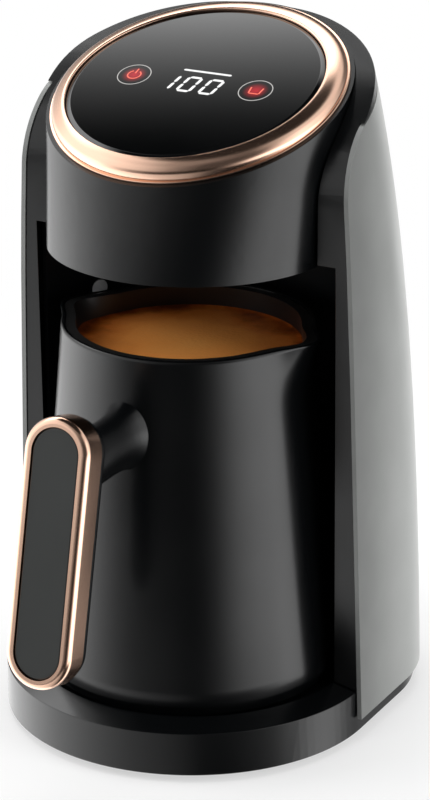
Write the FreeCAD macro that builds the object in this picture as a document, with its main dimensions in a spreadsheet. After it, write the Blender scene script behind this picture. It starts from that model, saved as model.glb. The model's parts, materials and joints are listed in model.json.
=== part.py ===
import FreeCAD, Part
import math
import os
import re
import Sketcher
from types import SimpleNamespace
from FreeCAD import Placement, Rotation, Vector

# Electric coffee maker with a lift-off jug, in millimetres.
# X points right, Y points to the rear and Z points up.
# The origin lies on the jug's axis, at the level that the feet stand on.

SIZES = {
    # Feet and base
    "foot_high": 3.0,
    "foot_radius": 6.5,
    "foot_plug": 2.6,
    "foot_front_side": 27.4,
    "foot_front_y": -34.0,
    "foot_rear_side": 33.4,
    "foot_rear_y": 66.0,
    "foot_edge": 1.0,
    "barb_proud": 0.8,
    "barb_taper": 0.6,
    "barb_high": 2.0,
    "base_centre": 2.5,
    "base_top": 19.5,
    "base_wall": 2.5,
    "band_rise": 2.2,
    "bay_floor": 18.8,
    "cover_thick": 2.0,
    "cover_screw_front_side": 40.28,
    "cover_screw_front_y": -33.32,
    "cover_screw_rear_side": 44.6,
    "cover_screw_rear_y": 64.68,
    "lead_slot_wide": 16.0,
    "lead_slot_deep": 5.0,
    "lead_slot_gap": 2.0,
    "edge_round": 1.2,
    # Tower, measured at the floor and drawn in towards the top
    "tower_half": 73.4,
    "tower_draft": 0.0273,
    "tower_sweep": 5.0,
    "tower_rear": 93.5,
    "tower_lean": 33.0,
    "tower_spare": 25.1,
    "tower_corner": 56.0,
    "tower_front": -1.0,
    "front_lean": 0.018,
    "tower_wall": 1.6,
    "strip_deep": 3.0,
    "shoulder_level": 205.0,
    "shoulder_radius": 30.0,
    "crown_radius": 96.0,
    "crown_limit": 0.9,
    "hood_rib": 1.0,
    "frame_split": 24.0,
    "spine_half": 24.0,
    # Side panels
    "panel_thick": 1.8,
    "panel_gap": 0.2,
    "panel_groove": 0.4,
    "panel_proud": 0.5,
    "hood_band": 4.6,
    "panel_bottom": 9.0,
    # Bay that the jug stands in
    "bay_side": 12.0,
    "bay_centre": 3.5,
    "bay_top": 183.4,
    "liner_wall": 1.6,
    "board_boss_x": 28.0,
    "board_boss_in": 6.0,
    "window_radius": 3.4,
    "window_turn": 64.0,
    "window_level": 148.0,
    "window_back": 1.0,
    "window_sunk": 0.1,
    "window_flange": 1.5,
    "window_flange_thick": 1.0,
    "window_play": 0.1,
    "sensor_radius": 2.5,
    "sensor_long": 5.0,
    "ceiling_inset": 1.0,
    "ceiling_grow": 0.6,
    # Head
    "head_inset": 8.1,
    "head_centre": 4.3,
    "head_bottom": 182.0,
    "head_wall": 2.4,
    "head_lip": 1.5,
    "head_gap": 1.6,
    "ring_overhang": 1.4,
    "ring_y": 9.2,
    "ring_level": 236.9,
    "ring_tilt": 22.5,
    "hood_drop": 0.8,
    "lead_way_half": 8.0,
    "lead_way_back": 30.0,
    "lead_way_drop": 8.0,
    # Trim ring, given as shares of its height and of its slope's width
    "ring_step": 0.9,
    "ring_knee_share": 0.42,
    "ring_knee_wide": 0.62,
    "ring_brow_share": 0.78,
    "ring_brow_wide": 0.26,
    "ring_inner_wall": 0.6,
    # Ring's crest and the glass inside it
    "ring_slope_wide": 6.9,
    "crest_forward": 3.6,
    "crest_rise": 4.8,
    "crest_tilt": 20.4,
    "glass_gap": 0.9,
    "glass_thick": 2.0,
    "glass_drop": 0.7,
    "glass_bevel": 0.9,
    "glass_bevel_deep": 0.7,
    "gasket_wide": 4.0,
    "gasket_thick": 1.0,
    "carrier_thick": 1.0,
    "carrier_inset": 0.5,
    "carrier_draft": 1.5,
    "carrier_ledge": 3.0,
    "button_offset": 24.6,
    "button_radius": 6.2,
    "display_wide": 27.0,
    "display_deep": 17.0,
    "board_thick": 1.6,
    "touch_board_drop": 9.5,
    "board_inset": 5.9,
    "guide_wall": 1.2,
    "lamp_wide": 3.0,
    "lamp_deep": 2.8,
    "lamp_high": 1.5,
    "lamp_y": 2.0,
    "contact_radius": 1.8,
    "contact_y": -2.2,
    "buzzer_radius": 6.0,
    "buzzer_high": 5.0,
    "buzzer_y": -24.0,
    "buzzer_hole": 1.2,
    "buzzer_hole_deep": 2.0,
    "socket_wide": 14.0,
    "socket_deep": 6.0,
    "socket_high": 7.0,
    "socket_y": 20.0,
    # Jug
    "jug_side_gap": 4.4,
    "jug_taper": 10.5,
    "jug_bottom": 24.0,
    "jug_rim": 153.4,
    "jug_wall": 1.8,
    "pot_gap": 2.6,
    "pot_wall": 1.0,
    "pot_floor": 46.0,
    "rim_drop": 0.6,
    "rim_thick": 1.2,
    "probe_y": 18.0,
    "probe_radius": 2.2,
    "probe_play": 0.1,
    "probe_tip": 1.2,
    "probe_proud": 4.0,
    "probe_head": 4.5,
    "probe_head_high": 4.0,
    "seal_radius": 3.0,
    "spout_spread": 13.0,
    "spout_long": 6.5,
    "spout_deep": 24.4,
    "jug_clearance": 0.3,
    "heater_thick": 4.0,
    "heater_inset": 8.0,
    "heater_edge": 1.0,
    "element_inset": 15.0,
    "element_tube": 3.3,
    "element_turn": 320.0,
    "pin_thick": 1.6,
    "pin_long": 7.0,
    "cutout_radius": 6.0,
    "cutout_high": 5.0,
    "cutout_x": 21.0,
    "cutout_y": -8.0,
    # Jug's moulded bottom
    "cup_gap": 0.15,
    "cup_wall": 2.0,
    "cup_floor": 2.2,
    "cup_edge": 1.0,
    "cup_overlap": 8.0,
    "cup_screw_inset": 5.0,
    # Round connector
    "boss_radius": 13.0,
    "boss_flange": 6.0,
    "boss_flange_thick": 3.0,
    "boss_edge": 1.0,
    "pin_collar": 3.0,
    "pin_foot": 5.0,
    "contact_inner": 9.0,
    "contact_outer": 11.0,
    "contact_thick": 0.6,
    "boss_top": 27.0,
    "pin_radius": 1.8,
    "plug_radius": 18.0,
    "plug_top": 31.0,
    "plug_flange": 4.0,
    "plug_flange_down": 6.0,
    "plug_flange_thick": 2.0,
    "plug_cavity": 1.0,
    # Handle
    "grip_y": -98.15,
    "grip_level": 98.2,
    "grip_lean": 12.4,
    "grip_half": 12.9,
    "grip_long": 96.2,
    "trim_wide": 3.5,
    "trim_front": -4.5,
    "trim_back": 5.5,
    "grip_back": 12.5,
    "trim_round": 2.4,
    "pad_sunk": 0.6,
    "pad_thick": 3.9,
    "pad_round": 0.8,
    "pad_play": 0.1,
    "back_inset": 0.8,
    "back_round": 5.0,
    "handle_screw_low": 22.0,
    "handle_screw_top": 30.0,
    "handle_screw_long": 16.0,
    "neck_level": 124.0,
    "neck_half": 8.0,
    "neck_high": 11.0,
    "neck_flare": 1.6,
    "neck_root": 6.0,
    "neck_start": 3.0,
    "neck_flare_long": 7.0,
    "neck_flare_mid": 3.2,
    "neck_sink": 2.0,
    # Fasteners and the cord's inlet
    "screw_radius": 1.5,
    "screw_head": 2.9,
    "screw_high": 2.0,
    "screw_sunk": 0.2,
    "screw_disc": 1.0,
    "screw_long": 5.0,
    "screw_tip": 0.5,
    "screw_play": 0.1,
    "post_radius": 3.6,
    "gland_radius": 4.3,
    "gland_bore": 3.3,
    "gland_level": 10.6,
    "gland_flange": 1.5,
    "gland_flange_thick": 2.0,
    "gland_barb": 0.9,
    # Power board
    "power_half": 32.0,
    "power_low": 34.0,
    "power_high": 78.0,
    "power_y": 70.0,
    "relay_wide": 15.0,
    "relay_deep": 11.0,
    "relay_high": 19.0,
    "relay_x": -24.0,
    "relay_up": 12.0,
    "coil_wide": 17.0,
    "coil_deep": 12.0,
    "coil_high": 16.0,
    "coil_x": -8.0,
    "coil_up": 40.0,
    "can_radius": 4.5,
    "can_long": 10.0,
    "can_x": 18.0,
    "can_up": 46.0,
    "film_wide": 8.0,
    "film_deep": 9.0,
    "film_high": 16.0,
    "film_x": 14.0,
    "film_up": 14.0,
    "terminals_wide": 18.0,
    "terminals_deep": 10.0,
    "terminals_high": 8.0,
    "terminals_x": -6.0,
    "terminals_up": 2.0,
    # Leads inside the housing
    "lead_radius": 1.5,
    "lead_off_board": 3.0,
    "lead_off_liner": 3.0,
    "lead_end_gap": 0.6,
    "lead_start_down": 8.0,
    "lead_first_up": 14.0,
    "lead_second_up": 30.0,
    "lead_over_bay": 10.0,
    "lead_last_back": 4.0,
    "lead_last_down": 14.0,
    "heater_lead_down": 9.0,
    "heater_lead_under": 4.7,
    "heater_lead_in": 4.0,
}

# Sizes that follow others, so that what fits together stays together.
LINKED = {
    "tower_high": "ring_level + tower_spare",
    "bay_half": "tower_half - bay_side",
    "head_radius": "bay_half - head_inset",
    "ring_radius": "head_radius + ring_overhang",
    "crest_radius": "ring_radius - ring_slope_wide",
    "crest_y": "ring_y - crest_forward",
    "crest_level": "ring_level + crest_rise",
    "glass_radius": "crest_radius - glass_gap",
    "touch_board_radius": "glass_radius - board_inset",
    "jug_foot_radius": "bay_half - jug_side_gap",
    "jug_rim_radius": "jug_foot_radius - jug_taper",
    "jug_slope": "jug_taper / (jug_rim - jug_bottom)",
    "spout_reach": "jug_rim_radius + spout_long",
    "heater_radius": "jug_foot_radius - heater_inset",
    "element_radius": "heater_radius - element_inset",
    "cup_screw_circle": "heater_radius - cup_screw_inset",
    "cup_outside": "jug_foot_radius - jug_slope * cup_overlap - jug_wall - cup_gap",
    "foot_front_x": "tower_half - foot_front_side",
    "foot_rear_x": "tower_half - foot_rear_side",
    "cover_screw_front_x": "tower_half - cover_screw_front_side",
    "cover_screw_rear_x": "tower_half - cover_screw_rear_side",
    "plug_flange_low": "plug_top - plug_flange_down",
    "plug_flange_top": "plug_flange_low + plug_flange_thick",
}

FULL_TURN = 360
QUARTER_TURN = 90
JUG_SCREW_TURNS = (30, 150, 270)
FLARE_MIDDLE = 0.35
FLARE_END = 1.5
ARC_SHARE = 0.45
TOUCHING = 1e-6
TOWER_SECTIONS = 7
SPOUT_STEPS = 3
SPOUT_POINTS = 40
REAR_POWER = 2.3
SIDE_POWER = 6
FAR = 200

doc = FreeCAD.newDocument("CoffeeMaker")
sheet = doc.addObject("Spreadsheet::Sheet", "Sizes")
for row, (alias, number) in enumerate(SIZES.items(), start=1):
    sheet.set(f"A{row}", alias)
    sheet.set(f"B{row}", str(number))
    sheet.setAlias(f"B{row}", alias)
doc.recompute()
parts = []


def spelled(text):
    """A formula with each linked size written out in cell names."""
    def link(word):
        name = word.group(0)
        return f"({spelled(LINKED[name])})" if name in LINKED else name
    return re.sub(r"[a-z]+(?:_[a-z]+)*", link, str(text))


def keep(piece, label):
    """Name a finished sub-part, which is written to a file of that name."""
    piece.Label = label
    parts.append(piece)
    return piece


def formula(text):
    """Write a formula of size names the way an expression outside the sheet reads them."""
    def cell(word):
        return "Sizes." + word.group(0) if word.group(0) in SIZES else word.group(0)
    return re.sub(r"[a-z]+(?:_[a-z]+)*", cell, spelled(text))


def worth(text):
    """The number that a formula of size names gives."""
    return float(sheet.evalExpression(spelled(text)))


s = SimpleNamespace(**{name: worth(name) for name in (*SIZES, *LINKED)})


def bind(piece, **formulas):
    """Tie properties of an object to formulas of cell names."""
    for name, text in formulas.items():
        piece.setExpression(name, formula(text))


def move(piece, x="0", y="0", z="0"):
    """Tie an object's place to formulas of cell names."""
    for axis, text in zip("xyz", (x, y, z)):
        piece.setExpression("Placement.Base." + axis, formula(text))
    return piece


def head_place():
    """The sloping plane that the ring stands on, with its normal as local Z."""
    return Placement(Vector(0, s.ring_y, s.ring_level), Rotation(Vector(1, 0, 0), s.ring_tilt))


def glass_place():
    """The plane of the ring's crest, which the glass follows."""
    return Placement(Vector(0, s.crest_y, s.crest_level), Rotation(Vector(1, 0, 0), s.crest_tilt))


def grip_place():
    """The leaning frame of the grip: local Z runs up the grip and local -Y faces the user."""
    return Placement(Vector(0, s.grip_y, s.grip_level), Rotation(Vector(1, 0, 0), -s.grip_lean))


def origin_plane(body, role):
    """A body's own origin plane."""
    return next(item for item in body.Origin.OriginFeatures if item.Role == role)


def outline_sketch(body, plane, corners, name):
    """A closed outline of straight sides, with each corner tied to a pair of formulas."""
    sketch = body.newObject("Sketcher::SketchObject", name)
    sketch.AttachmentSupport = [(origin_plane(body, plane), "")]
    sketch.MapMode = "FlatFace"
    points = [Vector(worth(across), worth(up), 0) for across, up in corners]
    count = len(points)
    for index, start in enumerate(points):
        sketch.addGeometry(Part.LineSegment(start, points[(index + 1) % count]), False)
    for index in range(count):
        sketch.addConstraint(Sketcher.Constraint("Coincident", index, 2, (index + 1) % count, 1))
    for index, corner in enumerate(corners):
        for kind, text in zip(("DistanceX", "DistanceY"), corner):
            rule = Sketcher.Constraint(kind, -1, 1, index, 1, worth(text))
            number = sketch.addConstraint(rule)
            sketch.setExpression(f"Constraints[{number}]", formula(text))
    return sketch


def turned(name, corners):
    """A piece turned about its own Z axis from an outline of radius and height."""
    body = doc.addObject("PartDesign::Body", name)
    sketch = outline_sketch(body, "XZ_Plane", corners, name + "_outline")
    turn = body.newObject("PartDesign::Revolution", name + "_turn")
    turn.Profile = sketch
    turn.ReferenceAxis = (sketch, ["V_Axis"])
    turn.Angle = FULL_TURN
    doc.recompute()
    return body


def rod(name, radius, high, x="0", y="0", z="0"):
    """An upright cylinder that stands on a level."""
    cylinder = doc.addObject("Part::Cylinder", name)
    bind(cylinder, Radius=radius, Height=high)
    return move(cylinder, x, y, z)


def without(name, base, tool):
    """A piece with a tool's shape taken away."""
    cut = doc.addObject("Part::Cut", name)
    cut.Base = base
    cut.Tool = tool
    return cut


def set_shape(name, shape, place=None):
    """A sub-part whose shape is worked out here from the sheet's sizes."""
    feature = doc.addObject("Part::Feature", name)
    feature.Shape = shape
    if place is not None:
        feature.Placement = place
    return feature


def repeated(name, piece, points):
    """Equal pieces at several places, as separate solids of one node."""
    doc.recompute()
    copies = [piece.Shape.translated(point) for point in points]
    return set_shape(name, Part.makeCompound(copies))


def slab(low, high, half=FAR, front=-FAR, rear=FAR):
    """A large box between two levels, for cutting."""
    corner = Vector(-half, front, low)
    return Part.makeBox(2 * half, rear - front, high - low, corner)


def tower_half(level):
    """Half the tower's width: a straight draft and a quick sweep inwards near the top."""
    share = level / s.tower_high
    return s.tower_half - s.tower_draft * level - s.tower_sweep * share ** SIDE_POWER


def tower_rear(level):
    """How far back the tower reaches: upright at the foot and leaning forward above."""
    return s.tower_rear - s.tower_lean * (level / s.tower_high) ** REAR_POWER


def tower_front(level):
    """Where the tower's front strips stand."""
    return s.tower_front - s.front_lean * level


def corner_arcs(half, rear, corner, level):
    """The sides and back of an outline: two straight sides, two round corners and the back."""
    side = rear - corner
    inner = half - corner
    turn = corner * math.sin(math.pi / 4)
    arcs = []
    for sign in (1, -1):
        start = Vector(sign * half, side, level)
        middle = Vector(sign * (inner + turn), side + turn, level)
        end = Vector(sign * inner, rear, level)
        arcs.append(Part.Arc(start, middle, end).toShape())
    back = Part.LineSegment(Vector(inner, rear, level), Vector(-inner, rear, level)).toShape()
    return arcs[0], back, arcs[1]


def flat_front_wire(level, inset):
    """A level section through the tower: a flat front, flat sides and two large rear corners."""
    half = tower_half(level) - inset
    rear = tower_rear(level) - inset
    front = tower_front(level) - 1
    corner = s.tower_corner - inset
    side = rear - corner
    right_arc, back, left_arc = corner_arcs(half, rear, corner, level)
    right_front = Vector(half, front, level)
    left_front = Vector(-half, front, level)
    sides = [
        Part.LineSegment(left_front, right_front).toShape(),
        Part.LineSegment(right_front, Vector(half, side, level)).toShape(),
        right_arc,
        back,
        left_arc,
        Part.LineSegment(Vector(-half, side, level), left_front).toShape(),
    ]
    return Part.Wire(sides)


def round_front_wire(half, centre, rear, corner, level):
    """An outline with a half round front, flat sides and two large rear corners."""
    side = rear - corner
    right_arc, back, left_arc = corner_arcs(half, rear, corner, level)
    left = Vector(-half, centre, level)
    right = Vector(half, centre, level)
    sides = [
        Part.Arc(left, Vector(0, centre - half, level), right).toShape(),
        Part.LineSegment(right, Vector(half, side, level)).toShape(),
        right_arc,
        back,
        left_arc,
        Part.LineSegment(Vector(-half, side, level), left).toShape(),
    ]
    return Part.Wire(sides)


def round_front_solid(half, centre, rear, corner, low, high):
    """A straight-walled solid on such an outline."""
    face = Part.Face(round_front_wire(half, centre, rear, corner, low))
    return face.extrude(Vector(0, 0, high - low))


def tower_loft(inset):
    """The whole tower's form, drawn in by an inset all round."""
    low = s.foot_high
    step = (s.tower_high - low) / (TOWER_SECTIONS - 1)
    wires = [flat_front_wire(low + step * index, inset) for index in range(TOWER_SECTIONS)]
    return Part.makeLoft(wires, True, False)


def side_profile(inset, bottom, drop=None):
    """The tower's outline from the side: upright front, round shoulder, round crown, sloping top."""
    tilt = math.radians(s.ring_tilt)
    slope = math.tan(tilt)
    drop = s.hood_drop if drop is None else drop
    foot = tower_front(bottom) + inset
    neck = tower_front(s.shoulder_level) + inset
    centre_y = tower_front(s.shoulder_level) + s.shoulder_radius
    radius = s.shoulder_radius - inset
    half_turn = radius * math.sin(math.pi / 4)
    middle = math.pi / 8
    arc_start = Vector(0, neck, s.shoulder_level)
    arc_high = s.shoulder_level + radius * math.sin(middle)
    arc_middle = Vector(0, centre_y - radius * math.cos(middle), arc_high)
    arc_end = Vector(0, centre_y - half_turn, s.shoulder_level + half_turn)
    top_at_ring = s.ring_level - (drop + inset) / math.cos(tilt)
    run = (top_at_ring + slope * (arc_end.y - s.ring_y) - arc_end.z) / (1 - slope)
    crease = arc_end + Vector(0, run, run)
    rise = Vector(0, 1, 1).normalize()
    along = Vector(0, math.cos(tilt), math.sin(tilt))
    crown = s.crown_radius - inset
    share = math.tan((math.pi / 4 - tilt) / 2)
    crown = min(crown, s.crown_limit * run * math.sqrt(2) / share)
    crown_start = crease - rise * crown * share
    crown_end = crease + along * crown * share
    inward = Vector(0, 1, -1).normalize()
    centre = crown_start + inward * crown
    outward = (crown_start - centre + crown_end - centre).normalize()
    top_rear = Vector(0, FAR, top_at_ring + slope * (FAR - s.ring_y))
    low_rear = Vector(0, FAR, bottom)
    low_front = Vector(0, foot, bottom)
    edges = [
        Part.LineSegment(low_front, arc_start).toShape(),
        Part.Arc(arc_start, arc_middle, arc_end).toShape(),
        Part.LineSegment(arc_end, crown_start).toShape(),
        Part.Arc(crown_start, centre + outward * crown, crown_end).toShape(),
        Part.LineSegment(crown_end, top_rear).toShape(),
        Part.LineSegment(top_rear, low_rear).toShape(),
        Part.LineSegment(low_rear, low_front).toShape(),
    ]
    face = Part.Face(Part.Wire(edges))
    face.translate(Vector(-FAR, 0, 0))
    return face.extrude(Vector(2 * FAR, 0, 0))


def head_form(low_grow, top_grow=None):
    """The head: a level circle below lofted to the sloping circle under the ring."""
    top_grow = low_grow if top_grow is None else top_grow
    low_centre = Vector(0, s.head_centre, s.head_bottom)
    low = Part.makeCircle(s.head_radius + low_grow, low_centre, Vector(0, 0, 1))
    plane = head_place()
    normal = plane.Rotation.multVec(Vector(0, 0, 1))
    top = Part.makeCircle(s.ring_radius + s.head_lip + top_grow, plane.Base, normal)
    return Part.makeLoft([Part.Wire(low), Part.Wire(top)], True, False)


def disc(radius, low, high, place):
    """A round solid between two heights of a placed frame."""
    solid = Part.makeCylinder(radius, high - low, Vector(0, 0, low))
    solid.Placement = place
    return solid


def bay_outline(grow, low, high):
    """The plan of the bay: round in front and behind, with flat sides."""
    half = s.bay_half + grow
    return round_front_solid(half, s.bay_centre, s.bay_centre + half, half - s.edge_round, low, high)


def under_inset():
    """How far the shell lies under the side panels' face."""
    return s.panel_thick + s.panel_gap


def base_half():
    """Half the base's width, just inside the side panels."""
    return tower_half(s.base_top) - under_inset()


def base_form(inset, low, high):
    """A straight-walled solid on the base's outline, drawn in by an inset."""
    rear = tower_rear(s.base_top) - under_inset()
    corner = s.tower_corner - under_inset()
    return round_front_solid(base_half() - inset, s.base_centre, rear - inset, corner - inset, low, high)


def corner_points(front_x, front_y, rear_x, rear_y):
    """Four places, mirrored left and right."""
    front = [Vector(sign * front_x, front_y, 0) for sign in (-1, 1)]
    rear = [Vector(sign * rear_x, rear_y, 0) for sign in (-1, 1)]
    return front + rear


def foot_points():
    """Where the four feet stand."""
    return corner_points(s.foot_front_x, s.foot_front_y, s.foot_rear_x, s.foot_rear_y)


def cover_screw_points():
    """Where the four screws hold the bottom cover."""
    return corner_points(s.cover_screw_front_x, s.cover_screw_front_y,
                         s.cover_screw_rear_x, s.cover_screw_rear_y)


def make_tray():
    """Base tray: low outer wall, sloping top band, bay floor, screw posts and the ways through."""
    band_top = s.base_top + s.band_rise
    rear = tower_rear(s.base_top) - under_inset()
    corner = s.tower_corner - under_inset()
    outer = base_form(0, s.foot_high, s.base_top)
    rim = round_front_wire(base_half(), s.base_centre, rear, corner, s.base_top)
    lip = round_front_wire(s.bay_half, s.bay_centre, rear, corner, band_top)
    band = Part.makeLoft([rim, lip], True, False)
    band_rear = tower_front(s.base_top) - s.panel_proud - s.panel_gap
    band = band.common(slab(s.base_top, band_top, rear=band_rear))
    tray = outer.fuse(band)
    plate_low = s.bay_floor - s.base_wall
    tray = tray.cut(base_form(s.base_wall, 0, plate_low))
    cover_top = s.foot_high + s.cover_thick
    for point in cover_screw_points():
        foot = point + Vector(0, 0, cover_top)
        tray = tray.fuse(Part.makeCylinder(s.post_radius, plate_low - cover_top, foot))
        tray = tray.cut(Part.makeCylinder(s.screw_radius, s.post_radius + s.screw_high, foot))
    tray = tray.cut(bay_outline(0, s.bay_floor, FAR))
    tray = tray.cut(Part.makeCylinder(s.boss_radius, FAR, Vector(0, 0, plate_low - s.base_wall)))
    slot_y = s.bay_centre + s.bay_half + s.liner_wall + s.lead_slot_gap
    slot_place = Vector(-s.lead_slot_wide / 2, slot_y, plate_low - s.base_wall)
    tray = tray.cut(Part.makeBox(s.lead_slot_wide, s.lead_slot_deep, FAR, slot_place))
    hole = Part.makeCylinder(s.gland_radius, FAR, Vector(0, 0, s.gland_level), Vector(0, 1, 0))
    tray = tray.cut(hole.common(slab(0, s.base_top, front=rear - 2 * s.base_wall)))
    keep(set_shape("base_tray", tray), "base_tray")


def make_base():
    """Bottom cover, feet and the cover's screws."""
    cover_top = s.foot_high + s.cover_thick
    cover = base_form(s.base_wall + s.panel_gap, s.foot_high, cover_top)
    for point in foot_points():
        cover = cover.cut(Part.makeCylinder(s.foot_plug, FAR, point))
    for point in cover_screw_points():
        cover = cover.cut(Part.makeCylinder(s.screw_radius, FAR, point))
        head_room = s.foot_high + s.screw_disc + s.screw_sunk
        cover = cover.cut(Part.makeCylinder(s.screw_head, head_room, point))
    keep(set_shape("bottom_cover", cover), "bottom_cover")

    foot = turned("foot", [
        ("0", "0"),
        ("foot_radius - foot_edge", "0"),
        ("foot_radius", "foot_edge"),
        ("foot_radius", "foot_high"),
        ("foot_plug", "foot_high"),
        ("foot_plug", "foot_high + cover_thick"),
        ("foot_plug + barb_proud", "foot_high + cover_thick"),
        ("foot_plug - barb_taper", "foot_high + cover_thick + barb_high"),
        ("0", "foot_high + cover_thick + barb_high"),
    ])
    keep(repeated("rubber_feet", foot, foot_points()), "rubber_feet")

    screw = turned("cover_screw", [
        ("0", "foot_high + screw_sunk"),
        ("screw_head - screw_play", "foot_high + screw_sunk"),
        ("screw_head - screw_play", "foot_high + screw_sunk + screw_disc"),
        ("screw_radius", "foot_high + screw_sunk + screw_disc"),
        ("screw_radius", "foot_high + cover_thick + screw_long"),
        ("0", "foot_high + cover_thick + screw_long + screw_tip"),
    ])
    keep(repeated("bottom_screws", screw, cover_screw_points()), "bottom_screws")


def make_gland():
    """Grommet in the rear of the base that the mains cord would pass through."""
    inner_face = "gland_flange_thick + base_wall"
    gland = turned("cord_gland", [
        ("gland_bore", "0"),
        ("gland_radius + gland_flange", "0"),
        ("gland_radius + gland_flange", "gland_flange_thick"),
        ("gland_radius", "gland_flange_thick"),
        ("gland_radius", inner_face),
        ("gland_radius + gland_barb", inner_face),
        ("gland_radius + gland_barb", inner_face + " + gland_flange_thick"),
        ("gland_bore", inner_face + " + gland_flange_thick"),
    ])
    rear = tower_rear(s.base_top) - under_inset()
    place = Vector(0, rear + s.gland_flange_thick, s.gland_level)
    gland.Placement = Placement(place, Rotation(Vector(1, 0, 0), QUARTER_TURN))
    keep(gland, "cord_gland")


def make_tower():
    """Front frame, rear shell and the two side panels, all cut from one tapering form."""
    bottom = s.base_top
    outer = tower_loft(0)
    under = tower_loft(under_inset()).common(side_profile(0, bottom))
    inside_drop = s.hood_drop + s.hood_band - s.strip_deep + s.hood_rib
    hollow = tower_loft(under_inset() + s.tower_wall)
    hollow = hollow.common(side_profile(s.strip_deep, bottom - s.base_wall, inside_drop))
    head_room = head_form(s.head_gap, s.panel_gap)

    panel_front = -s.panel_proud - s.panel_groove
    panel_zone = side_profile(panel_front, 0, s.hood_drop + s.hood_band)
    panel_room = outer.cut(tower_loft(under_inset())).common(panel_zone)
    skin = outer.common(side_profile(0, bottom)).cut(panel_room)
    skin = skin.cut(side_profile(s.strip_deep, bottom - s.base_wall, inside_drop))
    returns = under.common(slab(bottom, FAR * 2, rear=s.frame_split))
    opening = slab(bottom - s.base_wall, s.bay_top, half=s.bay_half, rear=s.frame_split)
    frame = skin.fuse(returns).cut(hollow).cut(opening).cut(head_room)
    keep(set_shape("front_frame", frame), "front_frame")

    spine = outer.common(slab(bottom, FAR * 2, half=s.spine_half))
    shell = under.fuse(spine).cut(hollow)
    shell = shell.common(side_profile(s.strip_deep + s.panel_gap, bottom, inside_drop))
    shell = shell.cut(slab(0, FAR * 2, rear=s.frame_split + s.panel_gap))
    keep(set_shape("rear_shell", shell.cut(head_room)), "rear_shell")

    skin_drop = s.hood_drop + s.hood_band + s.panel_groove
    skin_zone = side_profile(-s.panel_proud, s.panel_bottom, skin_drop)
    panel_form = outer.cut(tower_loft(s.panel_thick)).common(skin_zone)
    for side, sign in (("right", 1), ("left", -1)):
        near = s.spine_half + s.panel_groove
        low_x = near if sign > 0 else -FAR
        zone = Part.makeBox(FAR - near, 2 * FAR, 2 * FAR, Vector(low_x, -FAR, 0))
        label = side + "_side_panel"
        keep(set_shape(label, panel_form.common(zone)), label)


def board_levels():
    """The two levels of the power board's screws."""
    return s.power_low + s.board_boss_in, s.power_low + s.power_high - s.board_boss_in


def make_bay():
    """Wall and ceiling of the bay, with the round sensor window."""
    top = s.bay_top
    wall = bay_outline(s.liner_wall, s.base_top, top).cut(bay_outline(0, 0, FAR))
    wall = wall.cut(slab(0, FAR, rear=tower_front(s.base_top) + s.strip_deep + s.panel_gap))
    turn = math.radians(s.window_turn)
    outward = Vector(-math.sin(turn), math.cos(turn), 0)
    start = Vector(0, s.bay_centre, s.window_level) + outward * (s.bay_half - s.window_back)
    hole = Part.makeCylinder(s.window_radius, 2 * s.liner_wall + s.window_back, start, outward)
    for level in board_levels():
        for sign in (-1, 1):
            place = Vector(sign * s.board_boss_x, s.bay_centre, level)
            length = s.power_y - s.bay_centre
            boss = Part.makeCylinder(s.post_radius, length, place, Vector(0, 1, 0))
            wall = wall.fuse(boss.cut(bay_outline(s.liner_wall / 2, 0, FAR)))
    keep(set_shape("bay_liner", wall.cut(hole)), "bay_liner")

    flange = start + outward * (s.window_flange + s.liner_wall)
    face = start + outward * (s.window_back - s.window_sunk)
    lens = Part.makeCylinder(s.window_radius - s.window_play, s.window_back + s.liner_wall, face, outward)
    disk_radius = s.window_radius + s.window_flange
    lens = lens.fuse(Part.makeCylinder(disk_radius, s.window_flange_thick, flange, outward))
    keep(set_shape("sensor_window", lens), "sensor_window")
    back = flange + outward * s.window_flange_thick
    sensor = Part.makeCylinder(s.sensor_radius, s.sensor_long, back, outward)
    keep(set_shape("overflow_sensor", sensor), "overflow_sensor")

    inner = s.head_radius - s.head_wall - s.ceiling_inset
    plan = Part.makeCylinder(inner, s.cover_thick, Vector(0, s.head_centre, top))
    rear_plan = bay_outline(s.ceiling_grow, top, top + s.cover_thick)
    front = tower_front(top) + s.strip_deep + s.panel_gap
    rear_plan = rear_plan.cut(slab(0, FAR * 2, rear=front))
    keep(set_shape("bay_ceiling", plan.fuse(rear_plan)), "bay_ceiling")


def make_head():
    """Head shell: a leaning tube with the seat that carries the ring, and a way for the lead."""
    shell = head_form(0).cut(head_form(-s.head_wall))
    seat = disc(s.ring_radius + s.head_lip - s.head_wall / 2, -s.head_wall, 0, head_place())
    shell = shell.fuse(seat.cut(disc(s.crest_radius, -FAR, FAR, head_place())))
    ceiling_top = s.bay_top + s.cover_thick + s.panel_gap
    behind = tower_front(s.bay_top) + s.strip_deep
    shell = shell.cut(slab(s.head_bottom - s.cover_thick, ceiling_top, front=behind))
    way_top = s.ring_level - s.lead_way_drop
    way_front = s.ring_y + s.lead_way_back
    shell = shell.cut(slab(s.head_bottom, way_top, half=s.lead_way_half, front=way_front))
    keep(set_shape("head_shell", shell), "head_shell")


def ring_circle(radius, place):
    """A circle in the local XY plane of a placed frame, as a wire."""
    normal = place.Rotation.multVec(Vector(0, 0, 1))
    return Part.Wire(Part.makeCircle(radius, place.Base, normal))


def between(first, second, share):
    """A frame part of the way from one placed frame to another."""
    base = first.Base + (second.Base - first.Base) * share
    return Placement(base, first.Rotation.slerp(second.Rotation, share))


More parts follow.
